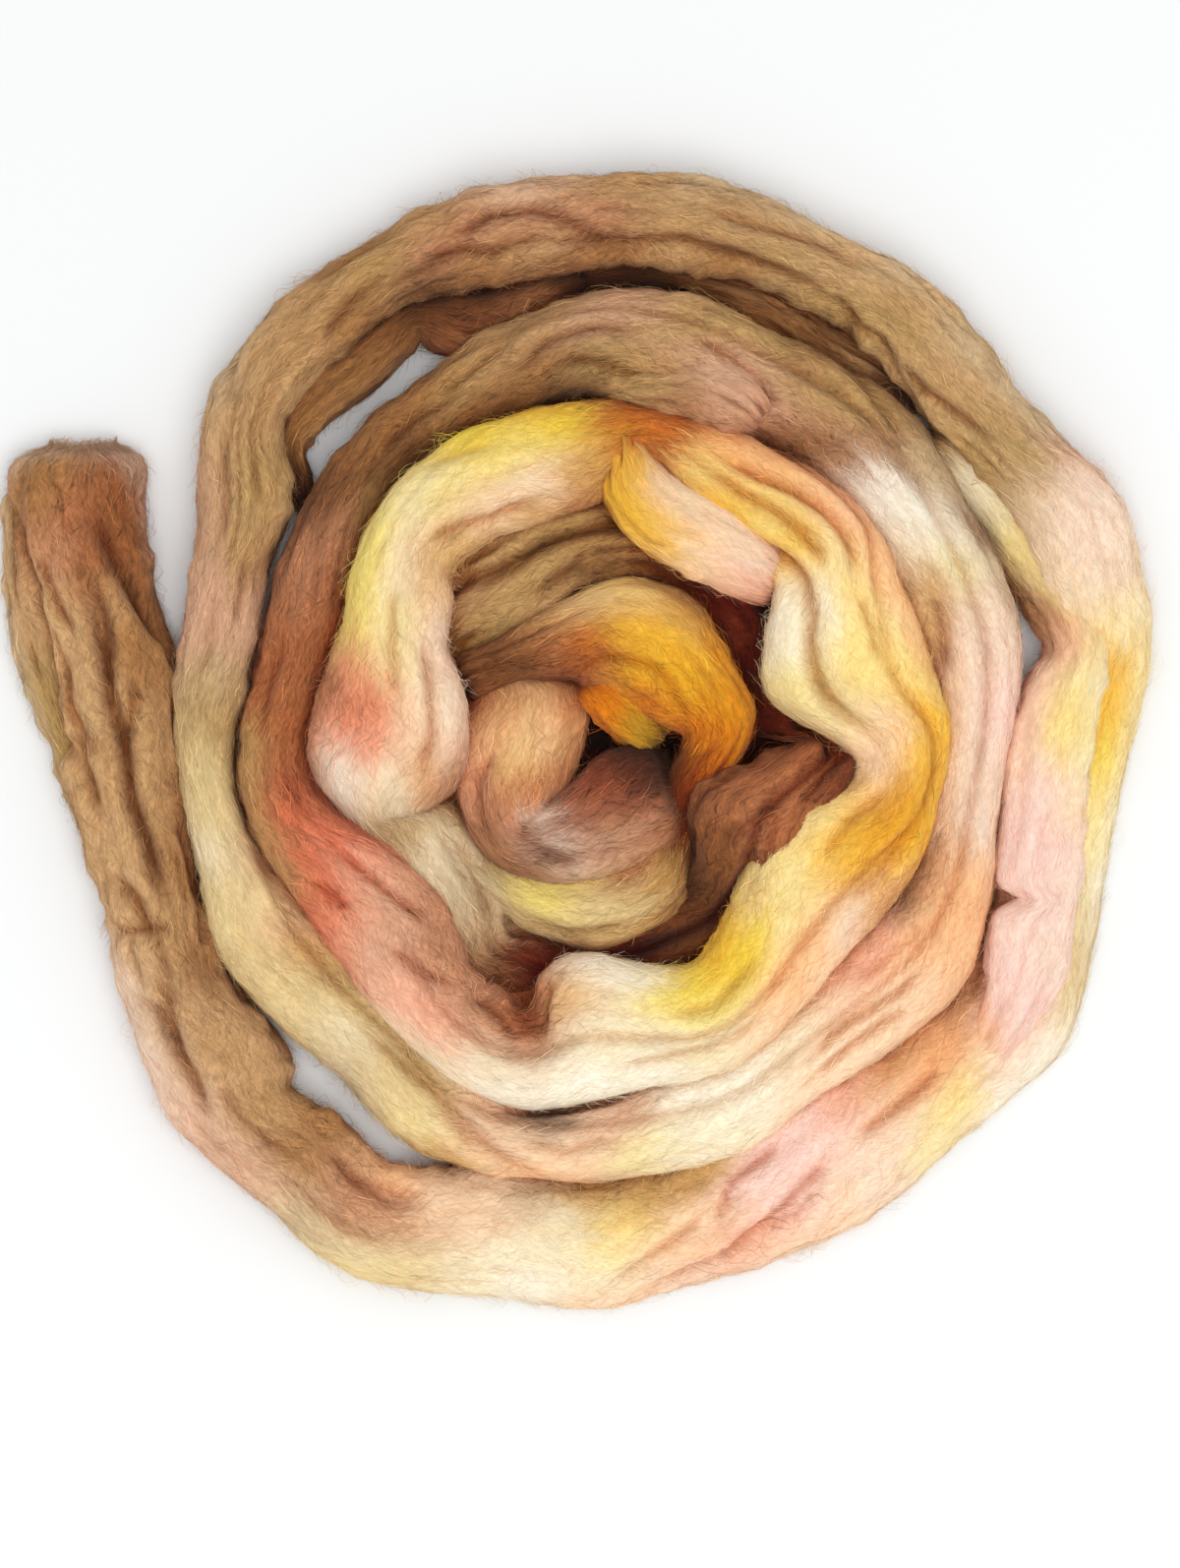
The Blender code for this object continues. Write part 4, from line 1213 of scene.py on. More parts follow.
@dataclass(frozen=True)
class Trough:
    """A crease's shape on a grid: the trough itself, and the wool that swells beside it."""

    bell: Array
    lip: Array

    REACH = 6.0  # how far the grid is worked out past a route, in half widths
    LIP_AT = 2.4  # where the wool beside it swells most, in half widths
    LIP_WIDTH = 1.6  # and over how much
    FADE = 0.18  # the share of its length over which it fades at each end
    LEAST = 0.15  # what is left of it there

    @staticmethod
    def along_route(route: Array, wide: float, along: Array, across: Array, where: Array | bool) -> "Trough":
        """The trough along a route, which fades towards its ends.

        At distance d from the route the bell is exp(-(d / wide)^2), and the lip is
        exp(-((d / wide - LIP_AT) / LIP_WIDTH)^2).

        Args:
            route: places along and across, one a row.
            wide: the trough's half width.
            along: how far along each place of the grid lies.
            across: how far across it lies.
            where: the places of the rim that it may lie on.

        Returns:
            The trough.
        """
        reach = Trough.REACH * wide
        first, last = route[:, 0].min() - reach, route[:, 0].max() + reach
        rings = np.flatnonzero((along[:, 0] > first) & (along[:, 0] < last))
        bell, lip = np.zeros(along.shape), np.zeros(along.shape)
        if len(rings) == 0:
            return Trough(bell, lip)
        window = slice(rings[0], rings[-1] + 1)
        place = np.stack([along[window], across[window]], -1)
        steps = np.linalg.norm(np.diff(route, axis=0), axis=1)
        covered = np.r_[0, np.cumsum(steps)]
        nearest = np.full(place.shape[:2], np.inf)
        part = np.zeros(place.shape[:2])
        for number, step in enumerate(steps):
            run = route[number + 1] - route[number]
            share = np.clip(((place - route[number]) @ run) / max(step**2, 1e-9), 0, 1)
            distance = np.linalg.norm(place - route[number] - share[..., None] * run, axis=-1)
            closer = distance < nearest
            nearest = np.where(closer, distance, nearest)
            part = np.where(closer, (covered[number] + share * step) / covered[-1], part)
        fade = np.clip(np.minimum(part, 1 - part) / Trough.FADE, Trough.LEAST, 1) * where
        bell[window] = fade * np.exp(-((nearest / wide) ** 2))
        lip[window] = fade * np.exp(-(((nearest / wide - Trough.LIP_AT) / Trough.LIP_WIDTH) ** 2))
        return Trough(bell, lip)


RELIEF = Relief()


class DyeBath:
    """The colour of the wool at each place, from the chart of dyes, with painted shade and painted floor light."""

    PAINTED_SHADE_TINT = (0.66, 0.47, 0.37)  # painted shade: what is left of a dye's own colour deep between two strands
    FLOOR_LIGHT = (0.96, 0.86, 0.68)  # a pale floor's light through thin wool
    STRETCH_ALONG = 1.5  # a dye runs this much further along the fibres than across
    SHARPNESS = 1.9  # how fast a dye gives way to the next
    SOFTNESS = 8.0  # millimetres within which two dyes blend fully
    BLEED = 2.6  # how far a dye's edge is drawn out along the fibres
    FRAY_WAVES = (Waves(40, 2.4, 31), Waves(70, 7.0, 32, 1.2))
    LUMINANCE = (0.2126, 0.7152, 0.0722)  # the eye's share of red, green and blue
    LIGHTNESS_POWER = 0.4545  # from light to what the eye sees
    SMOOTH_LIGHTNESS = 0.86  # of wool that isn't felted at all
    FELTED_RANGE = 0.26  # how much darker fully felted wool is
    LEAST_FELTED = 0.12

    def colours(self, strand: Strand) -> Array:
        """The dyes on a strand's skin.

        Each charted spot weighs 1 / (d^2 + SOFTNESS^2)^SHARPNESS at distance d in the chart, and the
        colour is the weighted mean. The place along is first moved by streaky noise, which frays a
        dye's edge along the fibres.

        Args:
            strand: the strand.

        Returns:
            Linear red, green and blue at each place of the grid.
        """
        along, across = strand.chart()
        pattern_along, around = strand.places()
        frayed = along + self.BLEED * layered(self.FRAY_WAVES, pattern_along, around, RELIEF.girth)
        total = np.zeros(strand.shape)
        mixed = np.zeros((*strand.shape, 3))
        for label in dict.fromkeys(strand.labels):
            for dye, spots in DYE_CHART[label].items():
                for x, y in spots:
                    s, c = strand.find(x, y, label)
                    apart = ((frayed - s) / self.STRETCH_ALONG) ** 2 + (across - c) ** 2
                    weight = 1 / (apart + self.SOFTNESS**2) ** self.SHARPNESS
                    total += weight
                    mixed += weight[..., None] * dye.linear()
        return mixed / total[..., None]

    def with_painted_shade(self, colours: Array, painted_shade: Array) -> Array:
        """The dyes with painted shade in creases and between strands: colour * (1 - h + h * sqrt(colour) * tint).

        Args:
            colours: linear colours.
            painted_shade: how much painted shade each place gets, from 0 to 1.

        Returns:
            The colours with their painted shade.
        """
        share = painted_shade[..., None]
        return colours * (1 - share + share * np.sqrt(colours) * np.array(self.PAINTED_SHADE_TINT))

    def with_floor_light(self, colours: Array, through: Array) -> Array:
        """The dyes where the floor's light comes through thin wool: colour + (light - colour) * through."""
        return colours + (np.array(self.FLOOR_LIGHT) - colours) * through[..., None]

    def felted(self, colours: Array) -> Array:
        """How rough the wool is, from 0 to 1: the boiled browns are rougher than the pale dyes."""
        lightness = (colours @ np.array(self.LUMINANCE)) ** self.LIGHTNESS_POWER
        return np.clip((self.SMOOTH_LIGHTNESS - lightness) / self.FELTED_RANGE, self.LEAST_FELTED, 1)


@dataclass
class Surface:
    """A mesh to be made: its places, its faces and what is known at each corner and place.

    Args:
        verts: places in metres.
        faces: vertex numbers, one row a face, with rows of one size in each array.
        colour: linear colour at each place.
        maps: UV maps by name, each with one row for every corner of every face in order.
    """

    verts: Array
    faces: list[Array]
    colour: Array
    maps: dict[str, Array]

    def build(self, name: str, finish: bpy.types.Material) -> bpy.types.Object:
        """Makes the mesh object at the origin and links it to the scene.

        Args:
            name: the object's name.
            finish: its material.

        Returns:
            The new object.
        """
        mesh = bpy.data.meshes.new(name)
        corners = np.concatenate([face.ravel() for face in self.faces])
        sides = np.concatenate([np.full(len(face), face.shape[1]) for face in self.faces])
        mesh.vertices.add(len(self.verts))
        mesh.vertices.foreach_set("co", self.verts.astype(np.float32).ravel())
        mesh.loops.add(len(corners))
        mesh.loops.foreach_set("vertex_index", corners.astype(np.int32))
        mesh.polygons.add(len(sides))
        mesh.polygons.foreach_set("loop_start", (np.cumsum(sides) - sides).astype(np.int32))
        mesh.update(calc_edges=True)
        for map_name, places in self.maps.items():
            layer = mesh.uv_layers.new(name=map_name, do_init=False)
            layer.uv.foreach_set("vector", places.astype(np.float32).ravel())
        rgba = np.ones((len(self.verts), 4), np.float32)
        rgba[:, :3] = self.colour
        # The colour attribute holds the dyes with painted shade and painted floor light in them.
        dyed = mesh.color_attributes.new("dye", "FLOAT_COLOR", "POINT")
        dyed.data.foreach_set("color", rgba.ravel())
        mesh.shade_smooth()
        mesh.materials.append(finish)
        piece = bpy.data.objects.new(name, mesh)
        bpy.context.scene.collection.objects.link(piece)
        return piece


def joined(surfaces: Sequence[Surface]) -> Surface:
    """Several surfaces as one.

    Args:
        surfaces: the surfaces, each with the same maps.

    Returns:
        One surface with all their faces, the fours before the threes.
    """
    starts = np.cumsum([0] + [len(surface.verts) for surface in surfaces])
    faces, order = [], []
    for sides in (4, 3):
        for number, surface in enumerate(surfaces):
            first_corner = 0
            for array in surface.faces:
                if array.shape[1] == sides:
                    faces.append(array + starts[number])
                    order.append((number, first_corner, first_corner + array.size))
                first_corner += array.size
    maps = {
        name: np.concatenate([surfaces[number].maps[name][low:high] for number, low, high in order])
        for name in surfaces[0].maps
    }
    return Surface(
        np.concatenate([surface.verts for surface in surfaces]),
        faces,
        np.concatenate([surface.colour for surface in surfaces]),
        maps,
    )


@dataclass
class Heights:
    """The roving's top seen from above, as an evened grid of heights.

    Args:
        skins: the strand and its folds.
        cell: the grid's spacing.
        reach: how far the wool around a place counts, as the spread of a bell.
    """

    skins: Sequence[Strand]
    cell: float = 4.0
    reach: float = 9.0
    low: Array = field(init=False)
    level: Array = field(init=False)

    def __post_init__(self) -> None:
        """Lays the highest place of each cell into the grid and evens it out."""
        places = np.concatenate([skin.skin.reshape(-1, 3) for skin in self.skins])
        margin = 4 * self.reach
        self.low = places[:, :2].min(0) - margin
        size = np.ceil((places[:, :2].max(0) + margin - self.low) / self.cell).astype(int) + 1
        top = np.zeros(size)
        cells = np.round((places[:, :2] - self.low) / self.cell).astype(int)
        np.maximum.at(top, (cells[:, 0], cells[:, 1]), places[:, 2])
        steps = np.arange(-3 * self.reach, 3 * self.reach + self.cell, self.cell)
        bell = np.exp(-(steps**2) / (2 * self.reach**2))
        bell /= bell.sum()
        for axis in (0, 1):
            top = np.apply_along_axis(np.convolve, axis, top, bell, "same")
        self.level = top

    def around(self, places: Array) -> Array:
        """The evened height of the wool around each place."""
        at = np.clip((places[..., :2] - self.low) / self.cell, 0, np.array(self.level.shape) - LAST_CELL)
        i, j = np.floor(at[..., 0]).astype(int), np.floor(at[..., 1]).astype(int)
        fi, fj = at[..., 0] - i, at[..., 1] - j
        near = self.level[i, j] * (1 - fi) + self.level[i + 1, j] * fi
        far = self.level[i, j + 1] * (1 - fi) + self.level[i + 1, j + 1] * fi
        return near * (1 - fj) + far * fj


# ---------------------------------------------------------------- the roving


@dataclass
class Roving:
    """The strand and the folds that lie along it, each as a dyed skin with painted shade and painted floor light."""

    rim_over: int = 68
    rim_under: int = 12
    ring_gap: float = 3.4
    fold_rim_over: int = 30
    fold_rim_under: int = 8
    bands: int = 6  # the strips that the strand's own picture is laid in
    crease_shade_share: float = 0.78  # how strongly shade is painted into a crease
    crevice_shade_share: float = 0.95  # and deep between two strands
    floor_light_share: float = 0.24  # how strongly the floor's light is painted into a thin outer edge
    edge_levels: tuple[float, float] = (17.0, 8.0)  # how low the wool around is where that starts, and is full
    crevice_depths: tuple[float, float] = (3.5, 14.5)  # how far below the wool around a place lies where painted shade starts, and where it is full
    fold_starts: tuple[int, int] = (5000, 700)  # where the first fold's pattern starts, and the step to the next
    picture_margin: float = 0.01  # the empty edge of a strip of the picture
    picture_height: float = 0.97  # how much of the strip is used
    cap_edges: tuple[float, float] = (0.001, 0.999)  # where an end's tip lies in the picture
    cap_girth: float = 0.1  # the distance round an end's tip, in metres
    relief: Relief = RELIEF
    bath: DyeBath = field(default_factory=DyeBath)
    strand: Strand = field(init=False)
    folds: list[Strand] = field(init=False)
    colours: dict[int, Array] = field(init=False)

    def __post_init__(self) -> None:
        """Lofts the strand and its folds, presses the relief into them, dyes them and paints shade and floor light into
        the dyes.
        """
        rows, labels = [], []
        for label, sections in SECTIONS.items():
            rows += [list(section) for section in sections]
            labels += [label] * len(sections)
        rim = RimShape(self.rim_over, self.rim_under)
        self.strand = Strand(np.array(rows, float), labels, rim, self.ring_gap)
        fold_rim = RimShape(self.fold_rim_over, self.fold_rim_under)
        start, apart = self.fold_starts
        self.folds = [
            Strand(self.square_cuts(ridges), [label] * len(ridges), fold_rim, self.ring_gap, start + apart * number)
            for number, (label, ridges) in enumerate(FOLDS.items())
        ]
        self.colours = {}
        for number, skin in enumerate(self.skins()):
            self.colours[number] = self.bath.colours(skin)
            self.relief.press(skin, self.bath.felted(self.colours[number]))
        heights = Heights(self.skins())
        for number, skin in enumerate(self.skins()):
            around = heights.around(skin.skin)
            # Painted shade: darker where a place lies below the wool around it, and in creases.
            crevice = ramp(around - skin.skin[..., 2], *self.crevice_depths) * self.crevice_shade_share
            painted_shade = 1 - (1 - crevice) * (1 - self.crease_shade_share * skin.painted_shade)
            with_painted_shade = self.bath.with_painted_shade(self.colours[number], painted_shade)
            # Painted floor light: thin outer edges, where the wool around lies low, are paled towards it.
            through = self.floor_light_share * ramp(around, *self.edge_levels)
            self.colours[number] = self.bath.with_floor_light(with_painted_shade, through)

    def skins(self) -> list[Strand]:
        """The strand and then its folds."""
        return [self.strand, *self.folds]

    @staticmethod
    def square_cuts(ridges: Sequence[Ridge]) -> Array:
        """The cuts of a fold, each square to the fold's own run.

        Args:
            ridges: the fold's middle, width, thickness and lift at each cut.

        Returns:
            The same cuts as rows of a section table.
        """
        table = np.array(ridges, float)
        run = unit(np.gradient(table[:, 0:2], axis=0))
        half = np.stack([-run[:, 1], run[:, 0]], 1) * table[:, 2:3] / 2
        return np.hstack([table[:, 0:2] + half, table[:, 0:2] - half, table[:, 3:5]])

    def plan_shift(self) -> Array:
        """What moves the tables' plan onto the solid's, which is centred in plan, in millimetres."""
        low, high = (np.array(corner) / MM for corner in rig.box(CAD_NODE))
        plan = np.concatenate([skin.skin[..., :2].reshape(-1, 2) for skin in self.skins()])
        return (low[:2] + high[:2]) / 2 - (plan.min(0) + plan.max(0)) / 2

    def surface_of(self, number: int, shift: Array, row: int, rows: int) -> Surface:
        """One skin as a closed surface.

        Args:
            number: 0 for the strand, or a fold's number.
            shift: the move in plan, in millimetres.
            row: where its own strip of the picture starts, in strips.
            rows: how many strips the picture has.

        Returns:
            The surface, with its maps "strand", in metres along and round, and "OFBake".
        """
        skin = self.skins()[number]
        rings, rim = skin.shape
        bands = self.bands if number == 0 else 1
        i, j = np.meshgrid(np.arange(rings - 1), np.arange(rim), indexing="ij")
        k = (j + 1) % rim
        quads = np.stack([i * rim + j, i * rim + k, (i + 1) * rim + k, (i + 1) * rim + j], -1).reshape(-1, 4)
        ring_of = np.stack([i, i, i + 1, i + 1], -1).reshape(-1)
        rim_of = np.stack([j, j + 1, j + 1, j], -1).reshape(-1)
        band = np.repeat((i * bands // (rings - 1)).reshape(-1), 4)
        around = np.r_[skin.rim.around, 1 + skin.rim.around[0]] - skin.rim.around[0]
        begins = np.ceil(np.arange(bands + 1) * (rings - 1) / bands)
        u = (ring_of - begins[band]) / (begins[band + 1] - begins[band])
        margin = self.picture_margin
        v = (row + band + margin + self.picture_height * around[rim_of]) / rows
        picture = np.stack([margin + (1 - 2 * margin) * u, v], 1)
        strand_map = np.stack([skin.along[ring_of], around[rim_of] * self.relief.girth], 1) * MM
        ends = [self._cap(skin, end, row + end * (bands - 1), rows) for end in (0, 1)]
        caps, tips, cap_pictures, cap_maps = zip(*ends)
        verts = np.concatenate([skin.skin.reshape(-1, 3), np.array(tips)]) + np.r_[shift, 0]
        colour = self.colours[number]
        return Surface(
            verts * MM,
            [quads, *caps],
            np.concatenate([colour.reshape(-1, 3), colour[[0, -1]].mean(1)]),
            {
                "strand": np.concatenate([strand_map, *cap_maps]),
                "OFBake": np.concatenate([picture, *cap_pictures]),
            },
        )

    def _cap(self, skin: Strand, end: int, row: int, rows: int) -> tuple[Array, Array, Array, Array]:
        """The fan of faces that closes one end of a skin.

        Args:
            skin: the strand or fold.
            end: 0 for its first end and 1 for its last.
            row: the strip of the picture that the end lies in.
            rows: how many strips the picture has.

        Returns:
            The faces, the tip's place and the fan's maps "OFBake" and "strand".
        """
        rings, rim = skin.shape
        ring = (0, rings - 1)[end]
        number = np.arange(rim)
        first, after = ring * rim + number, ring * rim + (number + 1) % rim
        tip = np.full(rim, rings * rim + end)
        faces = np.stack([tip, after, first] if end == 0 else [tip, first, after], 1)
        around = (number + 0.5) / rim
        inner = (self.picture_margin, 1 - self.picture_margin)[end]
        v = (row + self.picture_margin + self.picture_height * around) / rows
        picture = np.stack([np.tile([self.cap_edges[end], inner, inner], rim), np.repeat(v, 3)], 1)
        along = np.full(rim * 3, skin.along[ring] * MM)
        strand_map = np.stack([along, np.repeat(around, 3) * self.cap_girth], 1)
        return faces, skin.skin[ring].mean(0), picture, strand_map

    def centres(self, shift: Array) -> list[tuple[float, float, float]]:
        """The middle of each ring of the strand, in metres, from its loose end to its inner end."""
        middle = (self.strand.skin.max(1) + self.strand.skin.min(1)) / 2
        middle = (middle + np.r_[shift, 0]) * MM
        return [tuple(float(value) for value in place) for place in middle]


# ---------------------------------------------------------------- loose fibres


@dataclass(frozen=True)
class FibreKind:
    """One kind of loose fibre on the roving.

    Args:
        count: how many.
        length: the shortest and longest.
        width: the narrowest and widest.
        rise: the least and most that a fibre's crown stands over the skin.
        turn: how far it turns off the run of the wool, in radians.
        curl: how far it waves from side to side.
        free: the share of fibres with one end in the air.
        tint: how much its lightness differs from its neighbours'.
        edge: how near the strand's edges they lie, or 0 for anywhere on top.
        end: how near the strand's two ends they start, or 0 for anywhere along it.
    """

    count: int
    length: tuple[float, float]
    width: tuple[float, float]
    rise: tuple[float, float]
    turn: float
    curl: float
    free: float
    tint: float
    edge: float = 0.0
    end: float = 0.0


class Runs(NamedTuple):
    """Where fibres run: their places and the skin's normals, rings and places round the rim there."""

    place: Array
    normal: Array
    ring: Array
    rim: Array


@dataclass
class Fibres:
    """Loose fibres combed along a roving, as narrow ribbons.

    Args:
        roving: the roving that they lie on.
        kinds: which kinds, in the order in which they are drawn.
        seed: the start of the random draws.
    """

    roving: Roving
    kinds: tuple[FibreKind, ...]
    seed: int
    points: int = 5
    inset: float = 1.5  # fibres leave the skin this far from the strand's ends
    strays: tuple[float, float] = (2.0, 5.0)  # how far past an end a lying fibre reaches, and a frayed one
    least_stray: float = 0.1  # the smallest share of that reach
    tuft_waves: Waves = Waves(9.0, 14, 51)  # where an edge's fuzz grows longer and shorter
    tuft_heights: tuple[float, float, float, float] = (0.55, 1.1, 0.1, 1.3)  # least, gain, raise and limit
    fold_share: float = 0.4  # what a fold has of the strand's fibres, for its length
    waves: tuple[float, float] = (0.3, 1.1)  # how many times a fibre waves
    free_curve: float = 1.6  # how late a free end rises
    tucked: float = 0.25  # how deep the two ends of a lying fibre dip
    facing: float = 0.55  # how far a ribbon's face turns off the skin's
    tip_width: float = 0.35  # how wide a ribbon's tip is, for its middle
    tip_span: tuple[float, float] = (0.04, 0.96)
    dye_jitter: tuple[float, float] = (1.6, 1.2)  # rings and places from which a fibre may have its dye
    least_tint: float = 0.35  # what smooth wool has of the difference in lightness
    ribbon_picture: float = 0.16  # half a ribbon's width in the picture
    picture_margin: float = 12.0
    floor_gap: float = 0.05

    def surface(self, shift: Array) -> Surface:
        """All the ribbons as one surface.

        Args:
            shift: the move in plan, in millimetres.

        Returns:
            The surface, with a map "OFBake" that is laid out as the plan.
        """
        random = np.random.default_rng(self.seed)
        skins = self.roving.skins()
        areas = np.array([skin.length * (1.0 if number == 0 else self.fold_share) for number, skin in enumerate(skins)])
        parts = []
        for kind in self.kinds:
            shares = np.round(kind.count * areas / areas.sum()).astype(int)
            for number, (skin, share) in enumerate(zip(skins, shares)):
                colours = self.roving.colours[number]
                parts.append(self._ribbons(kind, skin, colours, int(share), random, shift))
        return joined(parts)

    def _runs(self, kind: FibreKind, skin: Strand, count: int, random: np.random.Generator) -> Runs:
        """Where the fibres of one kind run on one skin.

        A fibre's crown stands at rise * 4t(1 - t) with both ends in the wool, or rise * t^free_curve
        with one end free, for t from 0 to 1 along it.

        Args:
            kind: the kind of fibre.
            skin: the strand or fold that they lie on.
            count: how many fibres.
            random: where the draws come from.

        Returns:
            Their runs.
        """
        rings, rim = skin.shape
        girth = self.roving.relief.girth
        rim_around = np.r_[skin.rim.around, skin.rim.around[0] + 1] * girth
        t = np.linspace(0, 1, self.points)[None]

        def drawn(low: float, high: float) -> Array:
            return random.uniform(low, high, (count, 1))

        length = drawn(*kind.length)
        start = drawn(0, skin.length)
        if kind.end > 0:
            first_end = random.random((count, 1)) < 0.5
            start = np.where(first_end, drawn(-kind.end, kind.end), skin.length + drawn(-kind.end, kind.end))
        over = skin.rim.over
        home = drawn(rim_around[0], rim_around[over])
        if kind.edge > 0:
            inward = drawn(0, kind.edge)
            outer_edge = random.random((count, 1)) < 0.5
            home = np.where(outer_edge, rim_around[0] + inward, rim_around[over] - inward)
        turn = random.normal(0, kind.turn, (count, 1))
        along = start + length * (t - 0.5) * np.cos(turn)
        beyond = along - np.clip(along, self.inset, skin.length - self.inset)
        along = along - beyond
        stray = drawn(self.least_stray, 1) * self.strays[1 if kind.end > 0 else 0]
        beyond = stray * np.tanh(beyond / stray)
        wave = kind.curl * np.sin(2 * np.pi * (drawn(*self.waves) * t + drawn(0, 1)))
        relief = self.roving.relief
        first = skin.first_along
        drift = relief.drift(start + first, home) - relief.drift(along + first, home + 0 * along)
        around = home + drift + length * (t - 0.5) * np.sin(turn) + wave
        around = np.clip(around, rim_around[0], rim_around[over] + 0.5)
        ring_at = along / skin.length * (rings - 1)
        rim_at = np.interp(around, rim_around, np.arange(rim + 1))
        place, normal = skin.at(ring_at, rim_at)
        is_free = random.random((count, 1)) < kind.free
        crown = drawn(*kind.rise)
        if kind.edge > 0:
            least, gain, lifted, limit = self.tuft_heights
            tuft = layered((self.tuft_waves,), start + first, home, girth)
            crown = crown * (least + gain * np.clip(tuft + lifted, 0, limit))
        arch = 4 * t * (1 - t)
        height = np.where(is_free, crown * t**self.free_curve, crown * arch - self.tucked * (1 - arch))
        place = place + normal * height[..., None]
        run = unit(np.diff(skin.middle[[0, 1, -2, -1]], axis=0))[[0, 2]]
        place[..., :2] += beyond[..., None] * np.where(beyond[..., None] < 0, run[0], run[1])
        place[..., 2] = np.maximum(place[..., 2], FLOOR_CLEARANCE + self.floor_gap)
        return Runs(place, normal, ring_at, rim_at)

    def _ribbons(
        self, kind: FibreKind, skin: Strand, colours: Array, count: int, random: np.random.Generator, shift: Array
    ) -> Surface:
        """The ribbons of one kind on one skin.

        Args:
            kind: the kind of fibre.
            skin: the strand or fold that they lie on.
            colours: the dyes on that skin, with their painted shade and painted floor light.
            count: how many fibres.
            random: where the draws come from.
            shift: the move in plan, in millimetres.

        Returns:
            The ribbons' surface.
        """
        place, normal, ring_at, rim_at = self._runs(kind, skin, count, random)
        rings, rim = skin.shape
        t = np.linspace(0, 1, self.points)[None]
        tangent = unit(np.gradient(place, axis=1))
        facing = unit(normal + random.normal(0, self.facing, (count, 1, 3)))
        side = unit(np.cross(tangent, facing))
        narrowing = at_least(self.tip_width, np.sin(np.pi * np.clip(t, *self.tip_span)))
        width = random.uniform(*kind.width, (count, 1)) * narrowing
        left = place - side * width[..., None] / 2
        right = place + side * width[..., None] / 2
        verts = np.stack([left, right], 2) + np.r_[shift, 0]
        ribbon = np.arange(count)[:, None] * self.points * 2 + np.arange(self.points - 1)[None] * 2
        quads = np.stack([ribbon, ribbon + 1, ribbon + 3, ribbon + 2], -1).reshape(-1, 4)
        along_jitter, round_jitter = self.dye_jitter
        at_ring = np.clip(ring_at + random.normal(0, along_jitter, (count, 1)), 0, rings - LAST_CELL).astype(int)
        at_rim = np.round(rim_at + random.normal(0, round_jitter, (count, 1))).astype(int) % rim
        dye = colours[at_ring, at_rim]
        rough = self.roving.bath.felted(dye.mean(1, keepdims=True))[..., None]
        colour = dye * np.exp(random.normal(0, kind.tint, (count, 1, 1)) * (self.least_tint + rough))
        colour = np.repeat(np.clip(colour, 0, 1)[:, :, None], 2, axis=2).reshape(-1, 3)
        flat_side = unit(np.stack([-tangent[..., 1], tangent[..., 0]], -1)) * self.ribbon_picture
        low, high = (np.array(corner[:2]) / MM for corner in CAD_BOX)
        flat = np.stack([place[..., :2] - flat_side, place[..., :2] + flat_side], 2) + shift
        flat = (flat - low + self.picture_margin) / (high - low + 2 * self.picture_margin)
        return Surface(
            verts.reshape(-1, 3) * MM,
            [quads],
            colour,
            {"OFBake": flat.reshape(-1, 2)[quads.ravel()]},
        )


# ---------------------------------------------------------------- the finish


def plain_material(name: str, roughness: float, specular: float) -> bpy.types.Material:
    """A new material with a matt shader."""
    material = bpy.data.materials.new(name)
    material.use_nodes = True
    shader = material.node_tree.nodes["Principled BSDF"]
    shader.inputs["Roughness"].default_value = roughness
    shader.inputs["Specular IOR Level"].default_value = specular
    return material


def node(tree: bpy.types.ShaderNodeTree, kind: str, inputs: dict, **settings: object) -> bpy.types.Node:
    """A new node with its settings and inputs.

    Args:
        tree: the material's nodes.
        kind: the kind of node.
        inputs: by name or number, a value or the socket that it comes from.
        settings: the node's own settings.

    Returns:
        The node.
    """
    made = tree.nodes.new(f"ShaderNode{kind}")
    for name, value in settings.items():
        setattr(made, name, value)
    for name, value in inputs.items():
        if isinstance(value, bpy.types.NodeSocket):
            tree.links.new(value, made.inputs[name])
        else:
            made.inputs[name].default_value = value
    return made


def ranged(
    tree: bpy.types.ShaderNodeTree, value: bpy.types.NodeSocket, old: Sequence[float], new: Sequence[float]
) -> bpy.types.NodeSocket:
    """A value moved from one range to another and kept inside it."""
    limits = dict(zip(("From Min", "From Max", "To Min", "To Max"), (*old, *new)))
    return node(tree, "MapRange", {"Value": value, **limits}).outputs["Result"]


def combined(
    tree: bpy.types.ShaderNodeTree, operation: str, first: bpy.types.NodeSocket, second: bpy.types.NodeSocket | float
) -> bpy.types.NodeSocket:
    """Two values put together, of which the second may be a constant."""
    return node(tree, "Math", {0: first, 1: second}, operation=operation).outputs["Value"]


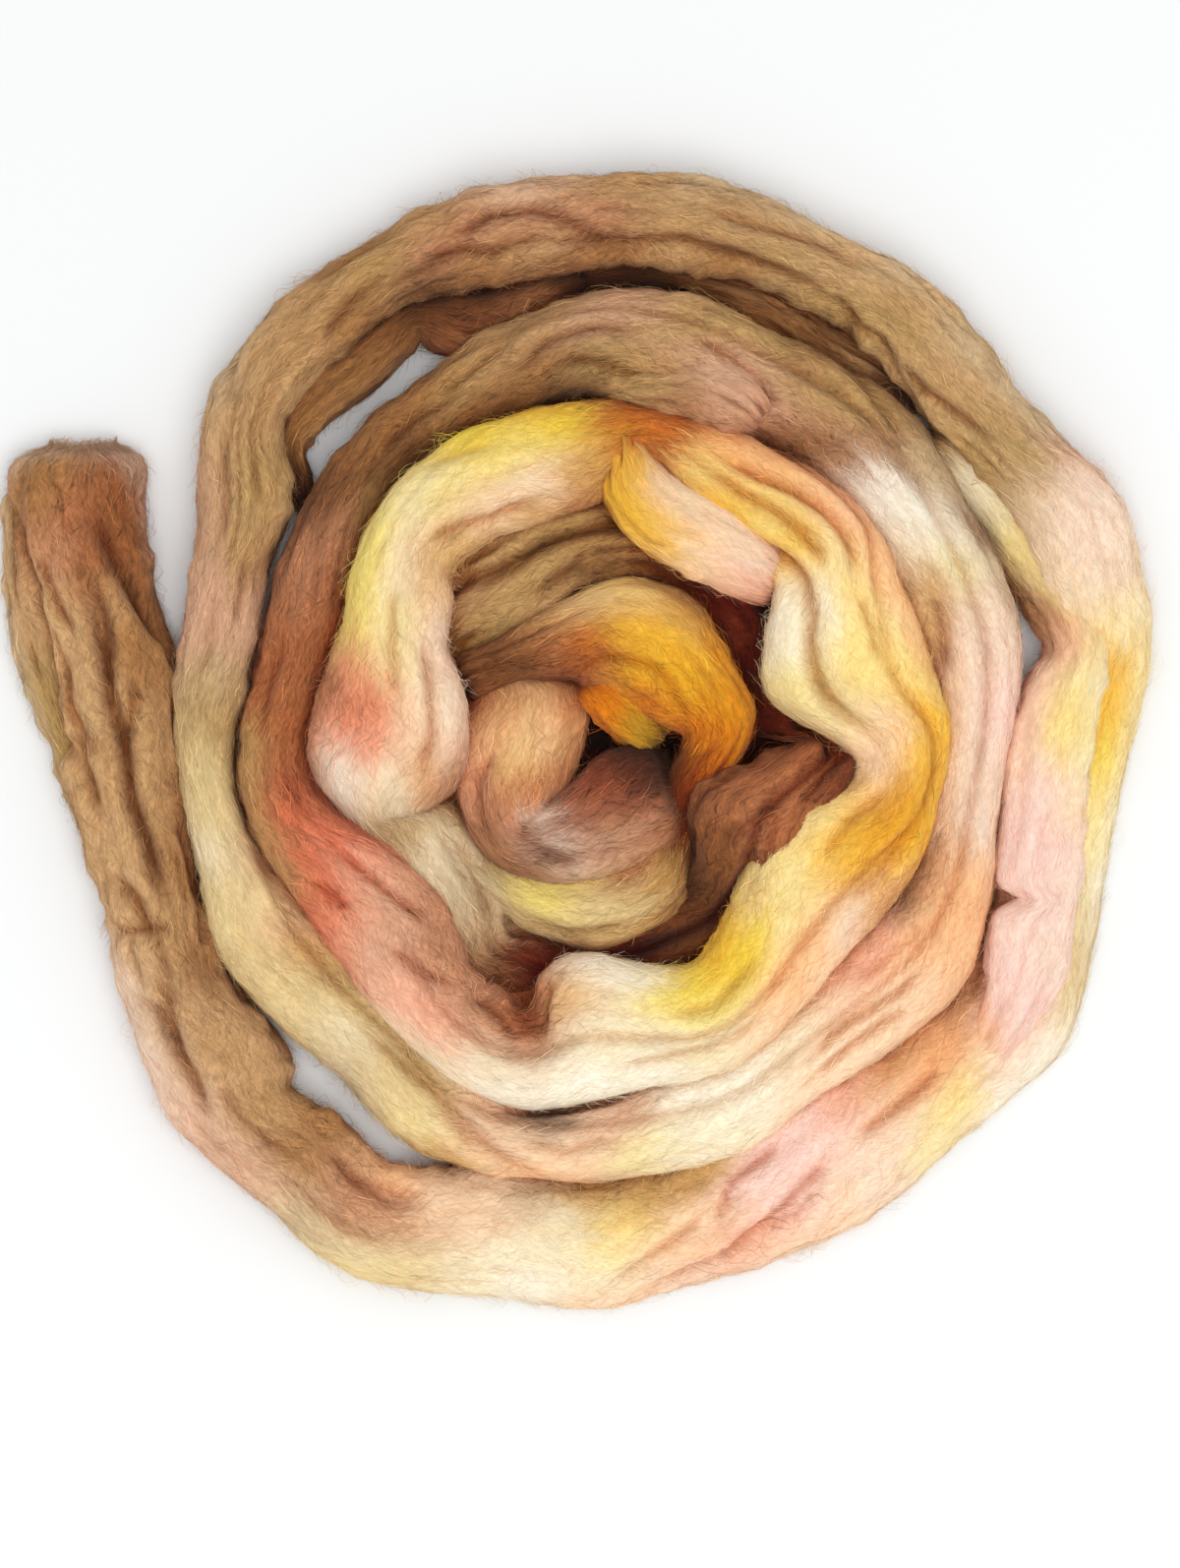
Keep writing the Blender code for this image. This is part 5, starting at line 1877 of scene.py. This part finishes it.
@dataclass(frozen=True)
class WoolFinish:
    """Combed wool: matt, with a faint sheen, in the mesh's colours: its dyes with painted shade and painted floor
    light.
    """

    roughness: float = 0.92
    specular: float = 0.2
    sheen: float = 0.10
    sheen_roughness: float = 0.5
    sheen_tint: tuple[float, float, float] = (1.0, 0.86, 0.74)
    waver_scale: float = 60.0  # waves to the metre of the fibres' own wander
    waver_detail: float = 2.0
    waver_roughness: float = 0.5
    waver_reach: tuple[float, float, float] = (0.002, 0.012, 0.0)
    streak_waves: tuple[float, float, float] = (260.0, 1050.0, 1.0)  # to the metre, along and across
    streak_depth: float = 0.0006
    streak_range: tuple[float, float] = (0.25, 0.75)  # the part of the noise that counts
    streak_swing: tuple[float, float] = (-0.85, 0.8)  # what it does to the lightness at most
    streak_contrast: tuple[float, float] = (0.48, 0.20)  # in dark wool and in pale wool
    nick_waves: tuple[float, float, float] = (95.0, 480.0, 1.0)
    nick_range: tuple[float, float] = (0.30, 0.40)
    nick_painted_shade: float = 0.42  # how dark the painted shade in the short nicks of felted wool is
    noise_roughness: float = 0.7
    dark_wool: float = 0.12  # the lightness at which wool is fully felted
    pale_wool: float = 0.55  # and at which it is smooth

    def base(self, name: str) -> tuple[bpy.types.Material, bpy.types.Node, bpy.types.NodeSocket]:
        """A material with its shader's plain values set.

        Args:
            name: the material's name.

        Returns:
            The material, its shader and the mesh's colour: its dye with painted shade and floor light.
        """
        material = plain_material(name, self.roughness, self.specular)
        tree = material.node_tree
        shader = tree.nodes["Principled BSDF"]
        shader.inputs["Sheen Weight"].default_value = self.sheen
        shader.inputs["Sheen Roughness"].default_value = self.sheen_roughness
        shader.inputs["Sheen Tint"].default_value = (*self.sheen_tint, 1)
        return material, shader, node(tree, "Attribute", {}, attribute_name="dye").outputs["Color"]

    def fibre(self) -> bpy.types.Material:
        """The finish of loose fibres."""
        material, shader, dye = self.base("wool_fibre")
        material.node_tree.links.new(dye, shader.inputs["Base Color"])
        return material

    def skin(self) -> bpy.types.Material:
        """The finish of the strand under its fibres: wavering streaks, and short nicks dented into it with painted
        shade in them.

        The dye is multiplied by 1 + swing * contrast + nicks, where the contrast and the nicks'
        painted shade pass from dark wool to pale wool.
        """
        material, shader, dye = self.base("wool_strand")
        tree = material.node_tree
        grey = node(tree, "RGBToBW", {"Color": dye}).outputs["Val"]
        place = self._wandering(tree)
        streaks = self._noise(tree, place, self.streak_waves, 3)
        nicks = self._noise(tree, place, self.nick_waves, 1)
        wools = (self.dark_wool, self.pale_wool)
        contrast = ranged(tree, grey, wools, self.streak_contrast)
        # Painted shade in the nicks: strong in dark felted wool, none in pale wool.
        felted = ranged(tree, grey, wools, (self.nick_painted_shade, 0.0))
        swing = ranged(tree, streaks, self.streak_range, self.streak_swing)
        nicked = combined(tree, "MULTIPLY", ranged(tree, nicks, self.nick_range, (-1.0, 0.0)), felted)
        shaded = combined(tree, "ADD", combined(tree, "MULTIPLY", swing, contrast), nicked)
        streaked = node(tree, "Mix", {"Factor": 1.0}, data_type="RGBA", blend_type="MULTIPLY")
        tree.links.new(dye, streaked.inputs["A"])
        tree.links.new(combined(tree, "ADD", shaded, 1.0), streaked.inputs["B"])
        tree.links.new(streaked.outputs["Result"], shader.inputs["Base Color"])
        relief = {"Strength": 1.0, "Distance": self.streak_depth, "Height": combined(tree, "ADD", streaks, nicked)}
        tree.links.new(node(tree, "Bump", relief).outputs["Normal"], shader.inputs["Normal"])
        return material

    def _wandering(self, tree: bpy.types.ShaderNodeTree) -> bpy.types.NodeSocket:
        """The skin's own map, pushed sideways by noise so that the streaks waver."""
        own = node(tree, "UVMap", {}, uv_map="strand").outputs["UV"]
        layers = {"Scale": self.waver_scale, "Detail": self.waver_detail, "Roughness": self.waver_roughness}
        waver = node(tree, "TexNoise", {"Vector": own, **layers}, noise_dimensions="2D").outputs["Color"]
        pushed = {0: waver, 1: self.waver_reach, 2: own}
        return node(tree, "VectorMath", pushed, operation="MULTIPLY_ADD").outputs["Vector"]

    def _noise(
        self, tree: bpy.types.ShaderNodeTree, place: bpy.types.NodeSocket, waves: Sequence[float], detail: float
    ) -> bpy.types.NodeSocket:
        """Noise from 0 to 1 with its own number of waves to the metre along and across.

        Args:
            tree: the material's nodes.
            place: where it is read.
            waves: waves to the metre along, across and up.
            detail: how many finer layers it has.

        Returns:
            The noise.
        """
        stretched = node(tree, "Mapping", {"Vector": place, "Scale": waves}).outputs["Vector"]
        layers = {"Vector": stretched, "Scale": 1.0, "Detail": detail, "Roughness": self.noise_roughness}
        return node(tree, "TexNoise", layers, noise_dimensions="2D").outputs["Fac"]


# ---------------------------------------------------------------- the studio


@dataclass(frozen=True)
class Studio:
    """A pale floor, soft light from above and a camera straight overhead."""

    view_width: float = 0.480
    view_height: float = 0.6376
    view_centre: tuple[float, float] = (0.0064, -0.0166)
    view_level: float = 0.018  # the height above the floor at which the view has its scale
    view_end: float = 20.0
    camera_height: float = 1.7
    floor_size: float = 6.0
    floor_colour: tuple[float, float, float] = (0.865, 0.875, 0.875)
    floor_roughness: float = 0.9
    floor_specular: float = 0.1
    lamp_size: float = 1.6
    lamp_energy: float = 16.0
    lamp_colour: tuple[float, float, float] = (1.0, 0.985, 0.965)
    lamp_place: tuple[float, float, float] = (0.22, -0.45, 1.75)
    sky_colour: tuple[float, float, float] = (0.97, 0.985, 1.0)
    sky_strength: float = 0.80

    def lay_floor(self) -> None:
        """The floor, which is a stage and no part of the roving."""
        half = self.floor_size / 2
        mesh = bpy.data.meshes.new("floor")
        corners = [(-half, -half, 0), (half, -half, 0), (half, half, 0), (-half, half, 0)]
        mesh.from_pydata(corners, [], [(0, 1, 2, 3)])
        floor = bpy.data.objects.new("floor", mesh)
        bpy.context.scene.collection.objects.link(floor)
        material = plain_material("pale_floor", self.floor_roughness, self.floor_specular)
        material.node_tree.nodes["Principled BSDF"].inputs["Base Color"].default_value = (*self.floor_colour, 1)
        mesh.materials.append(material)
        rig.stage(floor)

    def light(self) -> None:
        """A broad lamp above the near side, and an even pale surround."""
        lamp = bpy.data.lights.new("key", "AREA")
        lamp.shape = "DISK"
        lamp.size = self.lamp_size
        lamp.energy = self.lamp_energy
        lamp.color = self.lamp_colour
        key = bpy.data.objects.new("key", lamp)
        key.location = self.lamp_place
        key.rotation_euler = (-Vector(key.location)).to_track_quat("-Z", "Y").to_euler()
        bpy.context.scene.collection.objects.link(key)
        world = bpy.data.worlds.new("surround")
        world.use_nodes = True
        sky = world.node_tree.nodes["Background"]
        sky.inputs["Color"].default_value = (*self.sky_colour, 1)
        sky.inputs["Strength"].default_value = self.sky_strength
        bpy.context.scene.world = world

    def place_camera(self) -> None:
        """The camera looks straight down, with the photograph's top to the back."""
        lens = bpy.data.cameras.new("camera")
        lens.sensor_fit = "VERTICAL"
        distance = self.camera_height - self.view_level
        lens.angle_y = 2 * float(np.arctan(self.view_height / 2 / distance))
        lens.clip_end = self.view_end
        camera = bpy.data.objects.new("camera", lens)
        camera.location = (*self.view_centre, self.camera_height)
        bpy.context.scene.collection.objects.link(camera)
        bpy.context.scene.camera = camera

    def set_up(self) -> None:
        """The whole studio, and a plain rendering of its colours."""
        self.place_camera()
        self.lay_floor()
        self.light()
        bpy.context.scene.view_settings.view_transform = "Standard"


# Each kind's count, length, width, rise, turn, curl, free share and tint.
LYING = FibreKind(19000, (5, 17), (0.14, 0.36), (0.1, 0.6), 0.30, 1.1, 0.1, 0.17)
CROSSING = FibreKind(4200, (4, 13), (0.12, 0.26), (0.2, 1.0), 0.75, 1.6, 0.3, 0.20)
FLYAWAY = FibreKind(4500, (8, 24), (0.06, 0.11), (1.0, 3.4), 0.35, 2.5, 0.75, 0.08)
HALO = FibreKind(15000, (5, 15), (0.10, 0.21), (0.8, 4.4), 0.6, 2.2, 0.7, 0.10, edge=16.0)
FRAYED = FibreKind(2500, (4, 10), (0.07, 0.16), (0.2, 1.8), 0.6, 1.5, 0.5, 0.10, end=2.5)
FIBRE_SEEDS = (101, 102, 103)  # of the layers of lying fibres
HALO_SEED = 201
PATH_STEP = 4  # every so many rings are given as the cord's path


def declare(piece: bpy.types.Object) -> None:
    """The piece moves with the part's one body, stands for its solid and has its finish."""
    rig.ride(piece, "root")
    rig.replaces(piece, CAD_NODE)
    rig.slot(piece, "wool")
    LOG.info("%s: %d triangles", piece.name, sum(len(face.vertices) - 2 for face in piece.data.polygons))


def main() -> None:
    """Builds the studio, the roving and its loose fibres, and writes their box."""
    Studio().set_up()
    finish = WoolFinish()
    skin_finish, fibre_finish = finish.skin(), finish.fibre()
    roving = Roving()
    shift = roving.plan_shift()
    LOG.info("strand %.3f m long, moved by %.2f and %.2f mm", roving.strand.length * MM, *shift)
    strand = roving.surface_of(0, shift, 0, roving.bands).build("roving_strand", skin_finish)
    rows = len(roving.folds)
    folds = joined([roving.surface_of(1 + row, shift, row, rows) for row in range(rows)])
    layers = [folds.build("roving_folds", skin_finish)]
    for number, seed in enumerate(FIBRE_SEEDS, 1):
        fibres = Fibres(roving, (LYING, CROSSING), seed).surface(shift)
        layers.append(fibres.build(f"roving_fibres_{number}", fibre_finish))
    halo = Fibres(roving, (FLYAWAY, HALO, FRAYED), HALO_SEED).surface(shift)
    layers.append(halo.build("roving_halo", fibre_finish))
    for piece in (strand, *layers):
        declare(piece)
    path = roving.centres(shift)
    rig.cord(
        strand,
        exit=path[0],
        length=roving.strand.length * MM,
        diameter=CORD_DIAMETER,
        far_end="bare",
        stiffness="limp",
        lay="coiled",
        path=path[::PATH_STEP],
        with_pieces=layers,
    )
    boxes = {"cad": CAD_BOX, "visual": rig.bounds()}
    sizes = {name: [list(corner) for corner in box] for name, box in boxes.items()}
    with open("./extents.json", "w", encoding="utf-8") as file:
        json.dump(sizes, file)
    LOG.info("sizes %s", sizes)


if __name__ == "__main__":
    main()
